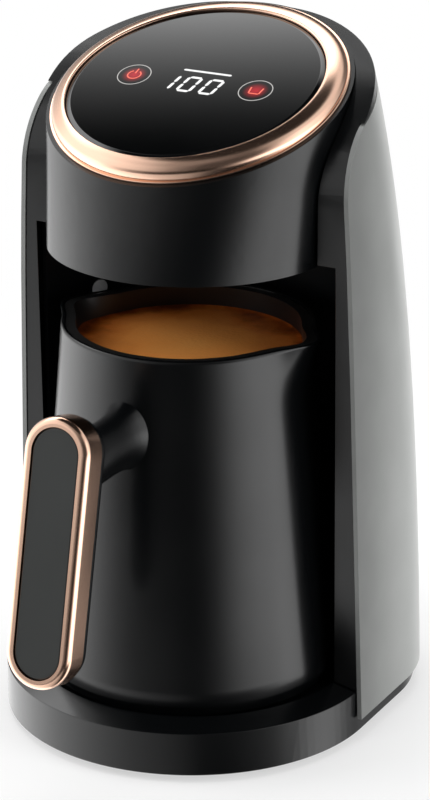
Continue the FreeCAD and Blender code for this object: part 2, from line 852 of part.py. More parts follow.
def make_ring():
    """Bevelled metal ring: its foot lies on the head and its crest frames the glass."""
    low = head_place()
    crest = glass_place()
    foot = low.multiply(Placement(Vector(0, 0, s.ring_step), Rotation()))
    spread = s.ring_radius - s.crest_radius
    stations = [
        (0.0, 1.0),
        (s.ring_knee_share, s.ring_knee_wide),
        (s.ring_brow_share, s.ring_brow_wide),
        (1.0, 0.0),
    ]
    wires = [ring_circle(s.crest_radius + spread * wide, between(foot, crest, share))
             for share, wide in stations]
    form = Part.makeLoft(wires, True, False)
    form = form.fuse(disc(s.ring_radius, 0, s.ring_step, low))
    bore = disc(s.crest_radius - s.ring_inner_wall, -FAR / 10, FAR, crest)
    keep(set_shape("trim_ring", form.cut(bore)), "trim_ring")


def make_glass():
    """Touch glass, the gasket under its edge and the carrier that holds the board."""
    place = glass_place()
    under = "-glass_drop - glass_thick"
    glass = turned("glass", [
        ("0", under),
        ("glass_radius", under),
        ("glass_radius", "-glass_drop - glass_bevel_deep"),
        ("glass_radius - glass_bevel", "-glass_drop"),
        ("0", "-glass_drop"),
    ])
    glass.Placement = place
    keep(glass, "touch_glass")

    gasket = turned("gasket", [
        ("glass_radius - gasket_wide", under + " - gasket_thick"),
        ("glass_radius", under + " - gasket_thick"),
        ("glass_radius", under),
        ("glass_radius - gasket_wide", under),
    ])
    gasket.Placement = place
    keep(gasket, "glass_gasket")

    ledge = "touch_board_radius - carrier_ledge"
    carrier = turned("carrier", [
        (ledge, "-touch_board_drop - carrier_thick"),
        ("glass_radius - carrier_inset - carrier_draft", "-touch_board_drop - carrier_thick"),
        ("glass_radius - carrier_inset - carrier_draft", "-touch_board_drop + carrier_thick"),
        ("glass_radius - carrier_inset", under + " - gasket_thick - board_thick"),
        ("glass_radius - carrier_inset", under + " - gasket_thick"),
        ("glass_radius - gasket_wide", under + " - gasket_thick"),
        ("glass_radius - gasket_wide", "-touch_board_drop"),
        (ledge, "-touch_board_drop"),
    ])
    carrier.Placement = place
    keep(carrier, "board_carrier")


def make_panel():
    """The touch board and what it carries above and below."""
    place = glass_place()
    board = turned("touch_board", [
        ("0", "-touch_board_drop"),
        ("touch_board_radius", "-touch_board_drop"),
        ("touch_board_radius", "-touch_board_drop + board_thick"),
        ("0", "-touch_board_drop + board_thick"),
    ])
    board.Placement = place
    keep(board, "touch_board")

    board_top = -s.touch_board_drop + s.board_thick
    high = -s.glass_drop - s.glass_thick - board_top
    lamps = []
    contacts = []
    for sign, side in ((-1, "left"), (1, "right")):
        centre = Vector(sign * s.button_offset, 0, board_top)
        tube = Part.makeCylinder(s.button_radius, high, centre)
        tube = tube.cut(Part.makeCylinder(s.button_radius - s.guide_wall, FAR, centre))
        keep(set_shape(side + "_light_guide", tube, place), side + "_light_guide")
        lamp_corner = centre + Vector(-s.lamp_wide / 2, s.lamp_y, 0)
        lamps.append(Part.makeBox(s.lamp_wide, s.lamp_deep, s.lamp_high, lamp_corner))
        contact_foot = centre + Vector(0, s.contact_y, 0)
        contacts.append(Part.makeCylinder(s.contact_radius, high, contact_foot))
    keep(set_shape("button_lamps", Part.makeCompound(lamps), place), "button_lamps")
    keep(set_shape("touch_contacts", Part.makeCompound(contacts), place), "touch_contacts")

    low_corner = Vector(-s.display_wide / 2, -s.display_deep / 2, board_top)
    display = Part.makeBox(s.display_wide, s.display_deep, high, low_corner)
    keep(set_shape("number_display", display, place), "number_display")

    buzzer_foot = Vector(0, s.buzzer_y, -s.touch_board_drop - s.buzzer_high)
    buzzer = Part.makeCylinder(s.buzzer_radius, s.buzzer_high, buzzer_foot)
    buzzer = buzzer.cut(Part.makeCylinder(s.buzzer_hole, s.buzzer_hole_deep, buzzer_foot))
    keep(set_shape("buzzer", buzzer, place), "buzzer")
    socket_corner = Vector(-s.socket_wide / 2, s.socket_y, -s.touch_board_drop - s.socket_high)
    socket = Part.makeBox(s.socket_wide, s.socket_deep, s.socket_high, socket_corner)
    keep(set_shape("board_socket", socket, place), "board_socket")


def spouted_wire(level, radius, reach):
    """A level outline of a round vessel, with a rounded beak drawn out to left and right."""
    points = []
    for index in range(SPOUT_POINTS):
        turn = 2 * math.pi * index / SPOUT_POINTS
        off = math.degrees(math.asin(math.sin(turn))) / s.spout_spread
        beak = reach * math.exp(-off * off)
        points.append(Vector((radius + beak) * math.cos(turn), (radius + beak) * math.sin(turn), level))
    curve = Part.BSplineCurve()
    curve.interpolate(points, PeriodicFlag=True)
    return Part.Wire(curve.toShape())


def vessel(grow, low, high):
    """The jug's form between two levels, grown or shrunk: a cone with a spout on each side."""
    start = s.jug_rim - s.spout_deep

    def section(level):
        radius = s.jug_rim_radius + grow + s.jug_slope * (s.jug_rim - level)
        rise = max(0, level - start) / s.spout_deep
        reach = (s.spout_reach - s.jug_rim_radius) * rise ** 2
        return spouted_wire(level, radius, reach)

    foot = Part.makeLoft([section(low), section(start)], True, True)
    steps = [start + (high - start) * step / SPOUT_STEPS for step in range(SPOUT_STEPS + 1)]
    return foot.fuse(Part.makeLoft([section(level) for level in steps], True, False))


def make_jug():
    """Jug shell and inner pot, each drawn out into two spouts at the rim."""
    hollow = vessel(-s.jug_wall, s.jug_bottom, s.jug_rim)
    shell = vessel(0, s.jug_bottom, s.jug_rim).cut(hollow)
    keep(set_shape("jug_shell", shell), "jug_shell")

    inset = s.jug_wall + s.pot_gap
    top = s.jug_rim - s.rim_drop
    pot = vessel(-inset, s.pot_floor, top)
    rim = hollow.common(slab(top - s.rim_thick, top))
    pot = pot.fuse(rim)
    pot = pot.cut(vessel(-inset - s.pot_wall, s.pot_floor + s.pot_wall, top))
    probe_place = Vector(0, s.probe_y, s.pot_floor - s.pot_wall)
    probe_way = Part.makeCylinder(s.probe_radius + s.probe_play, 3 * s.pot_wall, probe_place)
    keep(set_shape("inner_pot", pot.cut(probe_way)), "inner_pot")


def make_heater():
    """Heating plate with its tubular element and thermal cut-outs."""
    plate_low = "pot_floor - heater_thick"
    heater = turned("heater", [
        ("0", plate_low),
        ("heater_radius - heater_edge", plate_low),
        ("heater_radius", plate_low + " + heater_edge"),
        ("heater_radius", "pot_floor"),
        ("0", "pot_floor"),
    ])
    probe_hole = rod("probe_hole", "seal_radius", "2 * heater_thick", y="probe_y",
                     z=plate_low + " - heater_edge")
    keep(without("heater_cut", heater, probe_hole), "heating_plate")

    doc.recompute()
    level = s.pot_floor - s.heater_thick - s.element_tube
    centre = Vector(0, 0, level)
    upward = Vector(0, 0, 1)
    ring = Part.makeTorus(s.element_radius, s.element_tube, centre, upward, 0, FULL_TURN, s.element_turn)
    half_gap = (FULL_TURN - s.element_turn) / 2
    ring.rotate(Vector(0, 0, 0), upward, QUARTER_TURN + half_gap)
    pins = []
    for sign in (1, -1):
        turn = math.radians(QUARTER_TURN + sign * half_gap)
        across = s.element_radius * math.cos(turn)
        along = s.element_radius * math.sin(turn)
        pins.append(Part.makeCylinder(s.pin_thick, s.pin_long, Vector(across, along, level - s.pin_long)))
    keep(set_shape("heating_element", ring.fuse(pins)), "heating_element")

    cutout = doc.addObject("Part::Cylinder", "cutout")
    bind(cutout, Radius="cutout_radius", Height="cutout_high")
    move(cutout, z=plate_low + " - cutout_high")
    spots = [Vector(sign * s.cutout_x, s.cutout_y, 0) for sign in (-1, 1)]
    keep(repeated("thermal_cutouts", cutout, spots), "thermal_cutouts")


def make_probe():
    """Temperature probe through the heating plate and the pot's floor, and its seal."""
    plate_low = "pot_floor - heater_thick"
    tip = "pot_floor + pot_wall + probe_proud"
    probe = turned("probe", [
        ("0", plate_low + " - probe_head_high"),
        ("probe_head", plate_low + " - probe_head_high"),
        ("probe_head", plate_low),
        ("probe_radius", plate_low),
        ("probe_radius", tip + " - probe_radius + probe_tip"),
        ("probe_tip", tip),
        ("0", tip),
    ])
    move(probe, y="probe_y")
    keep(probe, "temperature_probe")
    seal = turned("probe_seal", [
        ("probe_radius", plate_low),
        ("seal_radius", plate_low),
        ("seal_radius", "pot_floor"),
        ("probe_radius", "pot_floor"),
    ])
    move(seal, y="probe_y")
    keep(seal, "probe_seal")


def make_jug_bottom():
    """Moulded bottom of the jug, held up to the heating plate by three screws."""
    low = "bay_floor + jug_clearance"
    cup = turned("bottom_cup", [
        ("plug_radius + jug_clearance", low),
        ("cup_outside - cup_edge", low),
        ("cup_outside", low + " + cup_edge"),
        ("cup_outside", "jug_bottom + cup_overlap"),
        ("cup_outside - cup_wall", "jug_bottom + cup_overlap"),
        ("cup_outside - cup_wall", low + " + cup_floor"),
        ("plug_radius + jug_clearance", low + " + cup_floor"),
    ])
    doc.recompute()
    turns = [math.radians(angle) for angle in JUG_SCREW_TURNS]
    circle = s.cup_screw_circle
    spots = [Vector(circle * math.cos(turn), circle * math.sin(turn), 0) for turn in turns]
    floor = s.bay_floor + s.jug_clearance
    top = s.pot_floor - s.heater_thick
    shape = cup.Shape
    for spot in spots:
        foot = spot + Vector(0, 0, floor + s.screw_high)
        shape = shape.fuse(Part.makeCylinder(s.post_radius, top - foot.z, foot))
        shape = shape.cut(Part.makeCylinder(s.screw_radius, FAR, spot))
        shape = shape.cut(Part.makeCylinder(s.screw_head, s.screw_high, spot + Vector(0, 0, floor)))
    keep(set_shape("jug_bottom_cup", shape), "jug_bottom_cup")
    screw = turned("jug_screw", [
        ("0", low + " + 2 * screw_sunk"),
        ("screw_head - screw_play", low + " + 2 * screw_sunk"),
        ("screw_head - screw_play", low + " + screw_high"),
        ("screw_radius", low + " + screw_high"),
        ("screw_radius", "pot_floor - heater_thick"),
        ("0", "pot_floor - heater_thick"),
    ])
    keep(repeated("jug_screws", screw, spots), "jug_screws")


def make_connector():
    """Round connector in the base: boss, centre contact and ring contact."""
    under = "bay_floor - base_wall"
    boss = turned("boss", [
        ("pin_radius + pin_collar", under + " - boss_flange_thick"),
        ("boss_radius + boss_flange", under + " - boss_flange_thick"),
        ("boss_radius + boss_flange", under),
        ("boss_radius", under),
        ("boss_radius", "boss_top - boss_edge"),
        ("boss_radius - boss_edge", "boss_top"),
        ("pin_radius + pin_collar", "boss_top"),
    ])
    keep(boss, "connector_boss")
    pin = turned("centre_contact", [
        ("0", under + " - pin_foot"),
        ("pin_radius + pin_collar", under + " - pin_foot"),
        ("pin_radius + pin_collar", "bay_floor"),
        ("pin_radius", "bay_floor"),
        ("pin_radius", "boss_top - boss_edge"),
        ("0", "boss_top"),
    ])
    keep(pin, "centre_contact")
    ring = turned("ring_contact", [
        ("contact_inner", "boss_top"),
        ("contact_outer", "boss_top"),
        ("contact_outer", "boss_top + contact_thick"),
        ("contact_inner", "boss_top + contact_thick"),
    ])
    keep(ring, "ring_contact")


def make_plug():
    """The jug's plug, which drops over the boss."""
    low = "bay_floor + jug_clearance"
    plug = turned("plug", [
        ("boss_radius + jug_clearance", low),
        ("plug_radius", low),
        ("plug_radius", "plug_flange_low"),
        ("plug_radius + plug_flange", "plug_flange_low"),
        ("plug_radius + plug_flange", "plug_flange_top"),
        ("plug_radius", "plug_flange_top"),
        ("plug_radius", "plug_top"),
        ("pin_radius + jug_clearance", "plug_top"),
        ("pin_radius + jug_clearance", "boss_top + plug_cavity"),
        ("boss_radius + jug_clearance", "boss_top + plug_cavity"),
    ])
    keep(plug, "jug_plug")


def stadium(half_wide, half_long, front, back):
    """A solid with straight sides and round ends in local X and Z, from front to back in Y."""
    straight = half_long - half_wide
    edges = []
    for sign in (1, -1):
        start = Vector(sign * half_wide, front, sign * straight)
        tip = Vector(0, front, sign * half_long)
        end = Vector(-sign * half_wide, front, sign * straight)
        edges.append(Part.Arc(start, tip, end).toShape())
        edges.append(Part.LineSegment(end, Vector(-sign * half_wide, front, -sign * straight)).toShape())
    return Part.Face(Part.Wire(edges)).extrude(Vector(0, back - front, 0))


def edges_at(shape, y):
    """The edges of a shape that lie whole in one plane across Y."""
    return [edge for edge in shape.Edges
            if abs(edge.BoundBox.YMin - y) < TOUCHING and abs(edge.BoundBox.YMax - y) < TOUCHING]


def handle_screw_shapes(start):
    """The two screws from the grip into the neck, in the grip's frame."""
    inward = Vector(0, 1, 0)
    screws = []
    for level in (s.handle_screw_low, s.handle_screw_top):
        spot = Vector(0, start + s.screw_disc, level)
        head = Part.makeCylinder(s.screw_head - s.screw_play, s.screw_high, spot, inward)
        shank = Part.makeCylinder(s.screw_radius, s.handle_screw_long, spot, inward)
        screws.append(head.fuse(shank))
    return screws


def make_grip():
    """Grip with its metal trim and inlay; gives back the placed shapes that the neck is cut by."""
    place = grip_place()
    half = s.grip_half
    long_half = s.grip_long / 2
    inner = half - s.trim_wide
    inner_long = long_half - s.trim_wide
    trim = stadium(half, long_half, s.trim_front, s.trim_back)
    trim = trim.makeFillet(s.trim_round, edges_at(trim, s.trim_front))
    trim = trim.cut(stadium(inner, inner_long, -FAR, FAR))
    keep(set_shape("handle_trim", trim, place), "handle_trim")

    pad_front = s.trim_front + s.pad_sunk
    pad_back = pad_front + s.pad_thick
    pad_half = inner - s.pad_play
    pad_long = inner_long - s.pad_play
    pad = stadium(pad_half, pad_long, pad_front, pad_back)
    pad = pad.makeFillet(s.pad_round, edges_at(pad, pad_front))
    keep(set_shape("handle_pad", pad, place), "handle_pad")

    back = stadium(half - s.back_inset, long_half - s.back_inset, s.trim_back, s.grip_back)
    back = back.makeFillet(s.back_round, edges_at(back, s.grip_back))
    grip = back.fuse(stadium(pad_half, pad_long, pad_back, s.trim_back))
    inward = Vector(0, 1, 0)
    for level in (s.handle_screw_low, s.handle_screw_top):
        spot = Vector(0, pad_back, level)
        grip = grip.cut(Part.makeCylinder(s.screw_radius, FAR, spot, inward))
        grip = grip.cut(Part.makeCylinder(s.screw_head, s.screw_high + s.screw_disc, spot, inward))
    keep(set_shape("handle_grip", grip, place), "handle_grip")
    screws = handle_screw_shapes(pad_back)
    keep(set_shape("handle_screws", Part.makeCompound(screws), place), "handle_screws")

    tools = [shape.copy() for shape in [grip] + screws]
    for tool in tools:
        tool.Placement = place
    return tools


def make_neck(tools):
    """Neck from the grip to the jug, flaring onto the jug's cone."""
    level = s.neck_level
    wall = -(s.jug_foot_radius - s.jug_slope * (level - s.jug_bottom))
    lean = math.tan(math.radians(s.grip_lean))
    grip_face = s.grip_y + (level - s.grip_level) * lean + s.grip_back
    stations = [
        (grip_face - s.neck_root, 0.0),
        (grip_face + s.neck_start, 0.0),
        (wall - s.neck_flare_long, 0.0),
        (wall - s.neck_flare_mid, s.neck_flare * FLARE_MIDDLE),
        (wall + s.neck_sink, s.neck_flare * FLARE_END),
    ]
    wires = []
    for y, grow in stations:
        centre = Vector(0, y, level)
        shape = Part.Ellipse(centre, s.neck_high + grow, s.neck_half + grow).toShape()
        shape.rotate(centre, Vector(1, 0, 0), QUARTER_TURN)
        shape.rotate(centre, Vector(0, 1, 0), QUARTER_TURN)
        wires.append(Part.Wire(shape))
    neck = Part.makeLoft(wires, True, False)
    neck = neck.cut(Part.makeCone(s.jug_foot_radius, s.jug_rim_radius, s.jug_rim - s.jug_bottom,
                                  Vector(0, 0, s.jug_bottom)))
    for tool in tools:
        neck = neck.cut(tool)
    keep(set_shape("handle_neck", neck), "handle_neck")


def make_power():
    """Power board behind the bay and the parts soldered to it."""
    board = doc.addObject("Part::Box", "power_board_blank")
    bind(board, Length="2 * power_half", Width="board_thick", Height="power_high")
    move(board, "-power_half", "power_y", "power_low")
    keep(board, "power_board")
    back = s.power_y + s.board_thick
    backward = Vector(0, 1, 0)

    def component(label, wide, deep, high, across, up):
        corner = Vector(across, back, s.power_low + up)
        keep(set_shape(label, Part.makeBox(wide, deep, high, corner)), label)

    component("heater_relay", s.relay_wide, s.relay_deep, s.relay_high, s.relay_x, s.relay_up)
    component("supply_transformer", s.coil_wide, s.coil_deep, s.coil_high, s.coil_x, s.coil_up)
    can_foot = Vector(s.can_x, back, s.power_low + s.can_up)
    can = Part.makeCylinder(s.can_radius, s.can_long, can_foot, backward)
    keep(set_shape("smoothing_capacitor", can), "smoothing_capacitor")
    component("mains_capacitor", s.film_wide, s.film_deep, s.film_high, s.film_x, s.film_up)
    component("mains_terminals", s.terminals_wide, s.terminals_deep, s.terminals_high,
              s.terminals_x, s.terminals_up)
    screws = []
    for level in board_levels():
        for sign in (-1, 1):
            spot = Vector(sign * s.board_boss_x, back, level)
            screws.append(Part.makeCylinder(s.screw_head, s.screw_high, spot, backward))
    keep(set_shape("board_screws", Part.makeCompound(screws)), "board_screws")


def rounded_path(points, share=ARC_SHARE):
    """Straight runs joined by tangent arcs, each as large as its two runs allow."""
    edges = []
    last = points[0]
    radii = []
    for before, corner, after in zip(points, points[1:], points[2:]):
        to_start = before - corner
        to_end = after - corner
        run = share * min(to_start.Length, to_end.Length)
        to_start.normalize()
        to_end.normalize()
        start = corner + to_start * run
        end = corner + to_end * run
        half_turn = (math.pi - to_start.getAngle(to_end)) / 2
        radius = run / math.tan(half_turn)
        radii.append(round(radius, 1))
        middle_way = to_start + to_end
        middle_way.normalize()
        middle = corner + middle_way * (radius / math.cos(half_turn) - radius)
        edges.append(Part.LineSegment(last, start).toShape())
        edges.append(Part.Arc(start, middle, end).toShape())
        last = end
    edges.append(Part.LineSegment(last, points[-1]).toShape())
    return Part.Wire(edges), radii


def lead(name, points, radius):
    """A lead of round section along a route inside the housing."""
    path, radii = rounded_path(points)
    along = points[1] - points[0]
    along.normalize()
    section = Part.Wire(Part.makeCircle(radius, points[0], along))
    solid = path.makePipeShell([section], True, True)
    share = solid.Volume / (math.pi * radius ** 2 * path.Length)
    print(name, "radii", radii, "volume share", round(share, 3))
    return keep(set_shape(name, solid), name)


def make_leads():
    """Leads from the power board to the touch board and to the connector."""
    rear = s.power_y + s.board_thick + s.lead_off_board
    top = s.power_low + s.power_high
    liner = s.bay_centre + s.bay_half + s.liner_wall
    behind = liner + s.lead_off_liner
    rise = s.bay_top + s.cover_thick
    socket_end = -s.touch_board_drop - s.socket_high - s.lead_end_gap
    socket = glass_place().multVec(Vector(0, s.socket_y + s.socket_deep / 2, socket_end))
    lead("display_lead", [
        Vector(0, rear, top - s.lead_start_down),
        Vector(0, rear, top + s.lead_first_up),
        Vector(0, behind, top + s.lead_second_up),
        Vector(0, behind, rise + s.lead_over_bay),
        Vector(0, socket.y + s.lead_last_back, socket.z - s.lead_last_down),
        socket,
    ], s.lead_radius)
    slot = liner + s.lead_slot_gap + s.lead_slot_deep / 2
    low = s.bay_floor - s.base_wall - s.heater_lead_under
    lead("heater_lead", [
        Vector(0, rear + s.lead_off_board, s.power_low + s.lead_radius + s.panel_gap / 2),
        Vector(0, slot, s.power_low - s.heater_lead_down),
        Vector(0, slot, low),
        Vector(0, s.boss_radius + s.heater_lead_in, low),
    ], s.lead_radius)


def sound(piece):
    """Whether an object was made without fault and holds a valid shape."""
    if "Invalid" in piece.State or "Error" in piece.State:
        return False
    return not hasattr(piece, "Shape") or piece.Shape.isNull() is False and piece.Shape.isValid()


make_tray()
make_base()
make_gland()
make_tower()
make_bay()
make_head()
make_ring()
make_glass()
make_panel()
make_jug()
make_heater()
make_probe()
make_jug_bottom()
make_connector()
make_plug()
make_neck(make_grip())
make_power()
make_leads()
doc.recompute()

faulty = [piece.Label for piece in doc.Objects
          if piece in parts and not sound(piece) or "Invalid" in piece.State or "Error" in piece.State]
if faulty:
    raise RuntimeError("Faulty: " + ", ".join(faulty))
os.makedirs("parts", exist_ok=True)
for piece in parts:
    piece.Shape.exportStep(os.path.join("parts", piece.Label + ".step"))
    print(piece.Label, len(piece.Shape.Solids), round(piece.Shape.Volume))
print(len(parts), "sub-parts")
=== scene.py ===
# %% [markdown]
# # A coffee maker on a white table
# The housing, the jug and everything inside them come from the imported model, which is loaded first.
# The steps below add the camera and the lights, give every part its finish, and rebuild the shapes
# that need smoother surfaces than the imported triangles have.

import json
import math

import bmesh
import bpy
import numpy as np
from mathutils import Matrix, Vector


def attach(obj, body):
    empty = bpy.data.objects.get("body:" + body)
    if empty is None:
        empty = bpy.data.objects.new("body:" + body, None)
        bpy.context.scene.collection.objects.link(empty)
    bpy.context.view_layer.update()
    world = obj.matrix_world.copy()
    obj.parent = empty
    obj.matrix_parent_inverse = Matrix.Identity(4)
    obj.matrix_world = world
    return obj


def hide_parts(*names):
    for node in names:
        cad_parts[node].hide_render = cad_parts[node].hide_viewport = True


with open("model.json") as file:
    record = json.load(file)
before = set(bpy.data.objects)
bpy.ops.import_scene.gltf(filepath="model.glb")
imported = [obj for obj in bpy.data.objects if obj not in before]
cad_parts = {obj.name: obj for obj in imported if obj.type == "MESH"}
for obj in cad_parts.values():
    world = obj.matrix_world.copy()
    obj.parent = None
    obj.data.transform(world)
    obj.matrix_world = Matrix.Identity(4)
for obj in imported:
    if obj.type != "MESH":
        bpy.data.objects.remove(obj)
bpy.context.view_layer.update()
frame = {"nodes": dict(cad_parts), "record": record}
MM = 0.001

# %% [markdown]
# ## Camera
# The picture was taken with a long lens from about a metre away, a little above the machine and to its right.
# The camera's place and aim were solved from the rims and edges in the photograph. A camera looks along its
# own minus Z axis, so its matrix holds the picture's right and up directions and the reverse of its aim.

# %% Set the camera
CAMERA_PLACE = Vector((0.5002, -0.9063, 0.5089))
CAMERA_AIM = Vector((-0.4450, 0.82425, -0.35013)).normalized()
CAMERA_UP = Vector((-0.1638, 0.3095, 0.9367))
CAMERA_LENS = 135
CAMERA_SENSOR = 36
CAMERA_FAR = 50
MACHINE_MIDDLE = Vector((0, 0, 0.122))

right = CAMERA_AIM.cross(CAMERA_UP).normalized()
above = right.cross(CAMERA_AIM).normalized()
camera = bpy.data.objects.new("camera", bpy.data.cameras.new("camera"))
camera.data.lens = CAMERA_LENS
camera.data.sensor_width = CAMERA_SENSOR
camera.data.clip_end = CAMERA_FAR
turn = Matrix((right, above, -CAMERA_AIM)).transposed().to_4x4()
camera.matrix_world = Matrix.Translation(CAMERA_PLACE) @ turn
bpy.context.scene.collection.objects.link(camera)
bpy.context.scene.camera = camera
print("camera", round((CAMERA_PLACE - MACHINE_MIDDLE).length, 3), "m away")

# %% [markdown]
# ## Light
# Glossy black plastic has almost no colour of its own: what makes its shape readable is what it mirrors.
# The lamps give a plain, even level and cast the shadow. Mirrored rays see a room painted into the world,
# in place of the white background: a broad wall of light on the left, a narrower one on the right, dark
# flags between them and behind on the right, and a bright strip high at the rear over the sloping glass.
# The white background is chosen by the kind of ray, so it puts no extra light on the object.

# %% Set the lamps


def soft_box(name, place, target, wide, high, watts):
    """A rectangular lamp that faces a target point and isn't itself mirrored."""
    lamp = bpy.data.lights.new(name, "AREA")
    lamp.shape = "RECTANGLE"
    lamp.size = wide
    lamp.size_y = high
    lamp.energy = watts
    holder = bpy.data.objects.new(name, lamp)
    holder.location = place
    holder.visible_glossy = False
    aim = Vector(target) - Vector(place)
    holder.rotation_euler = aim.to_track_quat("-Z", "Y").to_euler()
    bpy.context.scene.collection.objects.link(holder)
    return holder


def around(azimuth, distance, high):
    """A point at an azimuth from straight in front of the machine, positive to the right."""
    turned = math.radians(azimuth)
    return (distance * math.sin(turned), -distance * math.cos(turned), high)


TARGET = (0, 0, 0.13)
lamps = [
    soft_box("left_box", around(-60, 1.3, 0.75), TARGET, wide=0.9, high=1.1, watts=12),
    soft_box("right_box", around(85, 1.3, 0.60), TARGET, wide=0.6, high=1.1, watts=9),
    soft_box("top_box", (-0.15, 0.15, 1.5), TARGET, wide=1.2, high=1.2, watts=16),
]
print("soft boxes", [lamp.name for lamp in lamps])

# %% [markdown]
# Materials and the world are trees of shader nodes. A few short helpers add a node, join two sockets and do
# sums, so that each tree below reads like a recipe.

# %% Define the node helpers


def link(tree, source, target):
    """Join two sockets."""
    tree.links.new(source, target)


def node(tree, kind, **settings):
    """Add a shader node and set its plain properties and its named or numbered inputs."""
    made = tree.nodes.new("ShaderNode" + kind)
    for name, value in settings.items():
        if name.startswith("in_"):
            key = name[3:]
            made.inputs[int(key) if key.isdigit() else key.replace("_", " ")].default_value = value
        else:
            setattr(made, name, value)
    return made


def maths(tree, operation, first, second=None):
    """A maths node whose inputs are sockets or numbers."""
    made = tree.nodes.new("ShaderNodeMath")
    made.operation = operation
    for index, value in enumerate((first, second)):
        if value is None:
            continue
        if isinstance(value, (int, float)):
            made.inputs[index].default_value = value
        else:
            link(tree, value, made.inputs[index])
    return made.outputs[0]


def eased(tree, value, start, end, low=0.0, high=1.0):
    """A value moved smoothly from low to high while the input goes from start to end."""
    made = node(tree, "MapRange", interpolation_type="SMOOTHSTEP",
                in_1=start, in_2=end, in_3=low, in_4=high)
    link(tree, value, made.inputs[0])
    return made.outputs[0]


def blended(tree, share, first, second):
    """Two values mixed by a share."""
    made = node(tree, "Mix", data_type="FLOAT")
    for socket, value in zip(("Factor", "A", "B"), (share, first, second)):
        if isinstance(value, (int, float)):
            made.inputs[socket].default_value = value
        else:
            link(tree, value, made.inputs[socket])
    return made.outputs[0]


def through(tree, value, stops):
    """The colour at a value from 0 to 1, on a ramp through (position, colour) stops."""
    ramp = node(tree, "ValToRGB")
    elements = ramp.color_ramp.elements
    for index, (place, colour) in enumerate(stops):
        point = elements[index] if index < 2 else elements.new(place)
        point.position = place
        point.color = (*colour, 1)
    link(tree, value, ramp.inputs[0])
    return ramp.outputs[0]


print("node helpers: link, node, maths, eased, blended, through")

# %% [markdown]
# The walls of light are given as stops: an azimuth in degrees from the front, positive to the right, and
# the brightness there. Seen by the camera, the jug and the head mirror what is just below the horizon, the
# base's upright wall mirrors what is well below it, and the ring and the base's top band look up. The levels
# blend where the height of the ray, its Z, passes from one band to the next. Over a few degrees round the
# direction that the glass mirrors to the camera, the strip fades to nothing across its width.

# %% Paint the room
WORLD_FILL = 0.30
BRIGHTEST = 4.0
CEILING_DARK = 0.02
LOW_BLEND = (-0.29, -0.36)
HORIZON_BLEND = (-0.12, 0.12)
STRIP_BLEND = (0.45, 0.66)
CEILING_BLEND = (0.775, 0.86)
GLASS_LOOK = (-0.4656, 0.480, 0.7433)
GLASS_CONE = (0.9903, 0.9976)
STRIP_ACROSS = (-0.1638, 0.8464, -0.5069)
STRIP_DARK = 0.0806
STRIP_BRIGHT = 0.1290
STRIP_POWER = 2.5
JUST_BELOW = [(-180, 1.0), (-150, 0.9), (-118, 1.3), (-96, 2.2), (-82, 2.5), (-58, 2.0), (-40, 0.9),
              (-28, 0.30), (-14, 0.05), (0, 0.02), (30, 0.02), (40, 0.10), (50, 0.40), (60, 1.2), (70, 2.1),
              (84, 2.8), (104, 2.8), (122, 1.8), (134, 0.55), (146, 0.1), (160, 0.1), (180, 1.0)]
WELL_BELOW = [(-180, 0.8), (-120, 1.8), (-96, 2.4), (-75, 2.4), (-52, 1.9), (-39, 1.5), (-10, 0.75),
              (12, 0.45), (33, 0.07), (49, 0.02), (65, 0.02), (79, 0.12), (94, 1.0), (107, 2.3), (123, 2.0),
              (138, 0.5), (150, 0.3), (180, 0.8)]
ABOVE = [(-180, 0.10), (-145, 0.05), (-120, 0.7), (-90, 1.5), (-55, 1.5), (-25, 0.9), (0, 0.25), (20, 0.06),
         (62, 0.08), (80, 1.0), (95, 1.6), (110, 1.3), (140, 0.7), (160, 0.2), (180, 0.10)]
STRIP = [(-180, 0.9), (-160, 3.0), (-128, 3.2), (-95, 3.2), (-70, 1.6), (-40, 1.0), (-10, 0.3), (50, 0.1),
         (90, 0.9), (130, 0.9), (180, 0.9)]


def wall_of_light(tree, turn, stops):
    """Brightness by azimuth: grey stops on a ramp, as shares of the brightest level."""
    shares = [(azimuth / 360 + 0.5, [level / BRIGHTEST] * 3) for azimuth, level in stops]
    return maths(tree, "MULTIPLY", through(tree, turn, shares), BRIGHTEST)


def facing(tree, way):
    """How far a ray's direction points along a given one: their dot product."""
    made = node(tree, "VectorMath", operation="DOT_PRODUCT", in_1=way)
    link(tree, node(tree, "TexCoord").outputs["Generated"], made.inputs[0])
    return made.outputs["Value"]


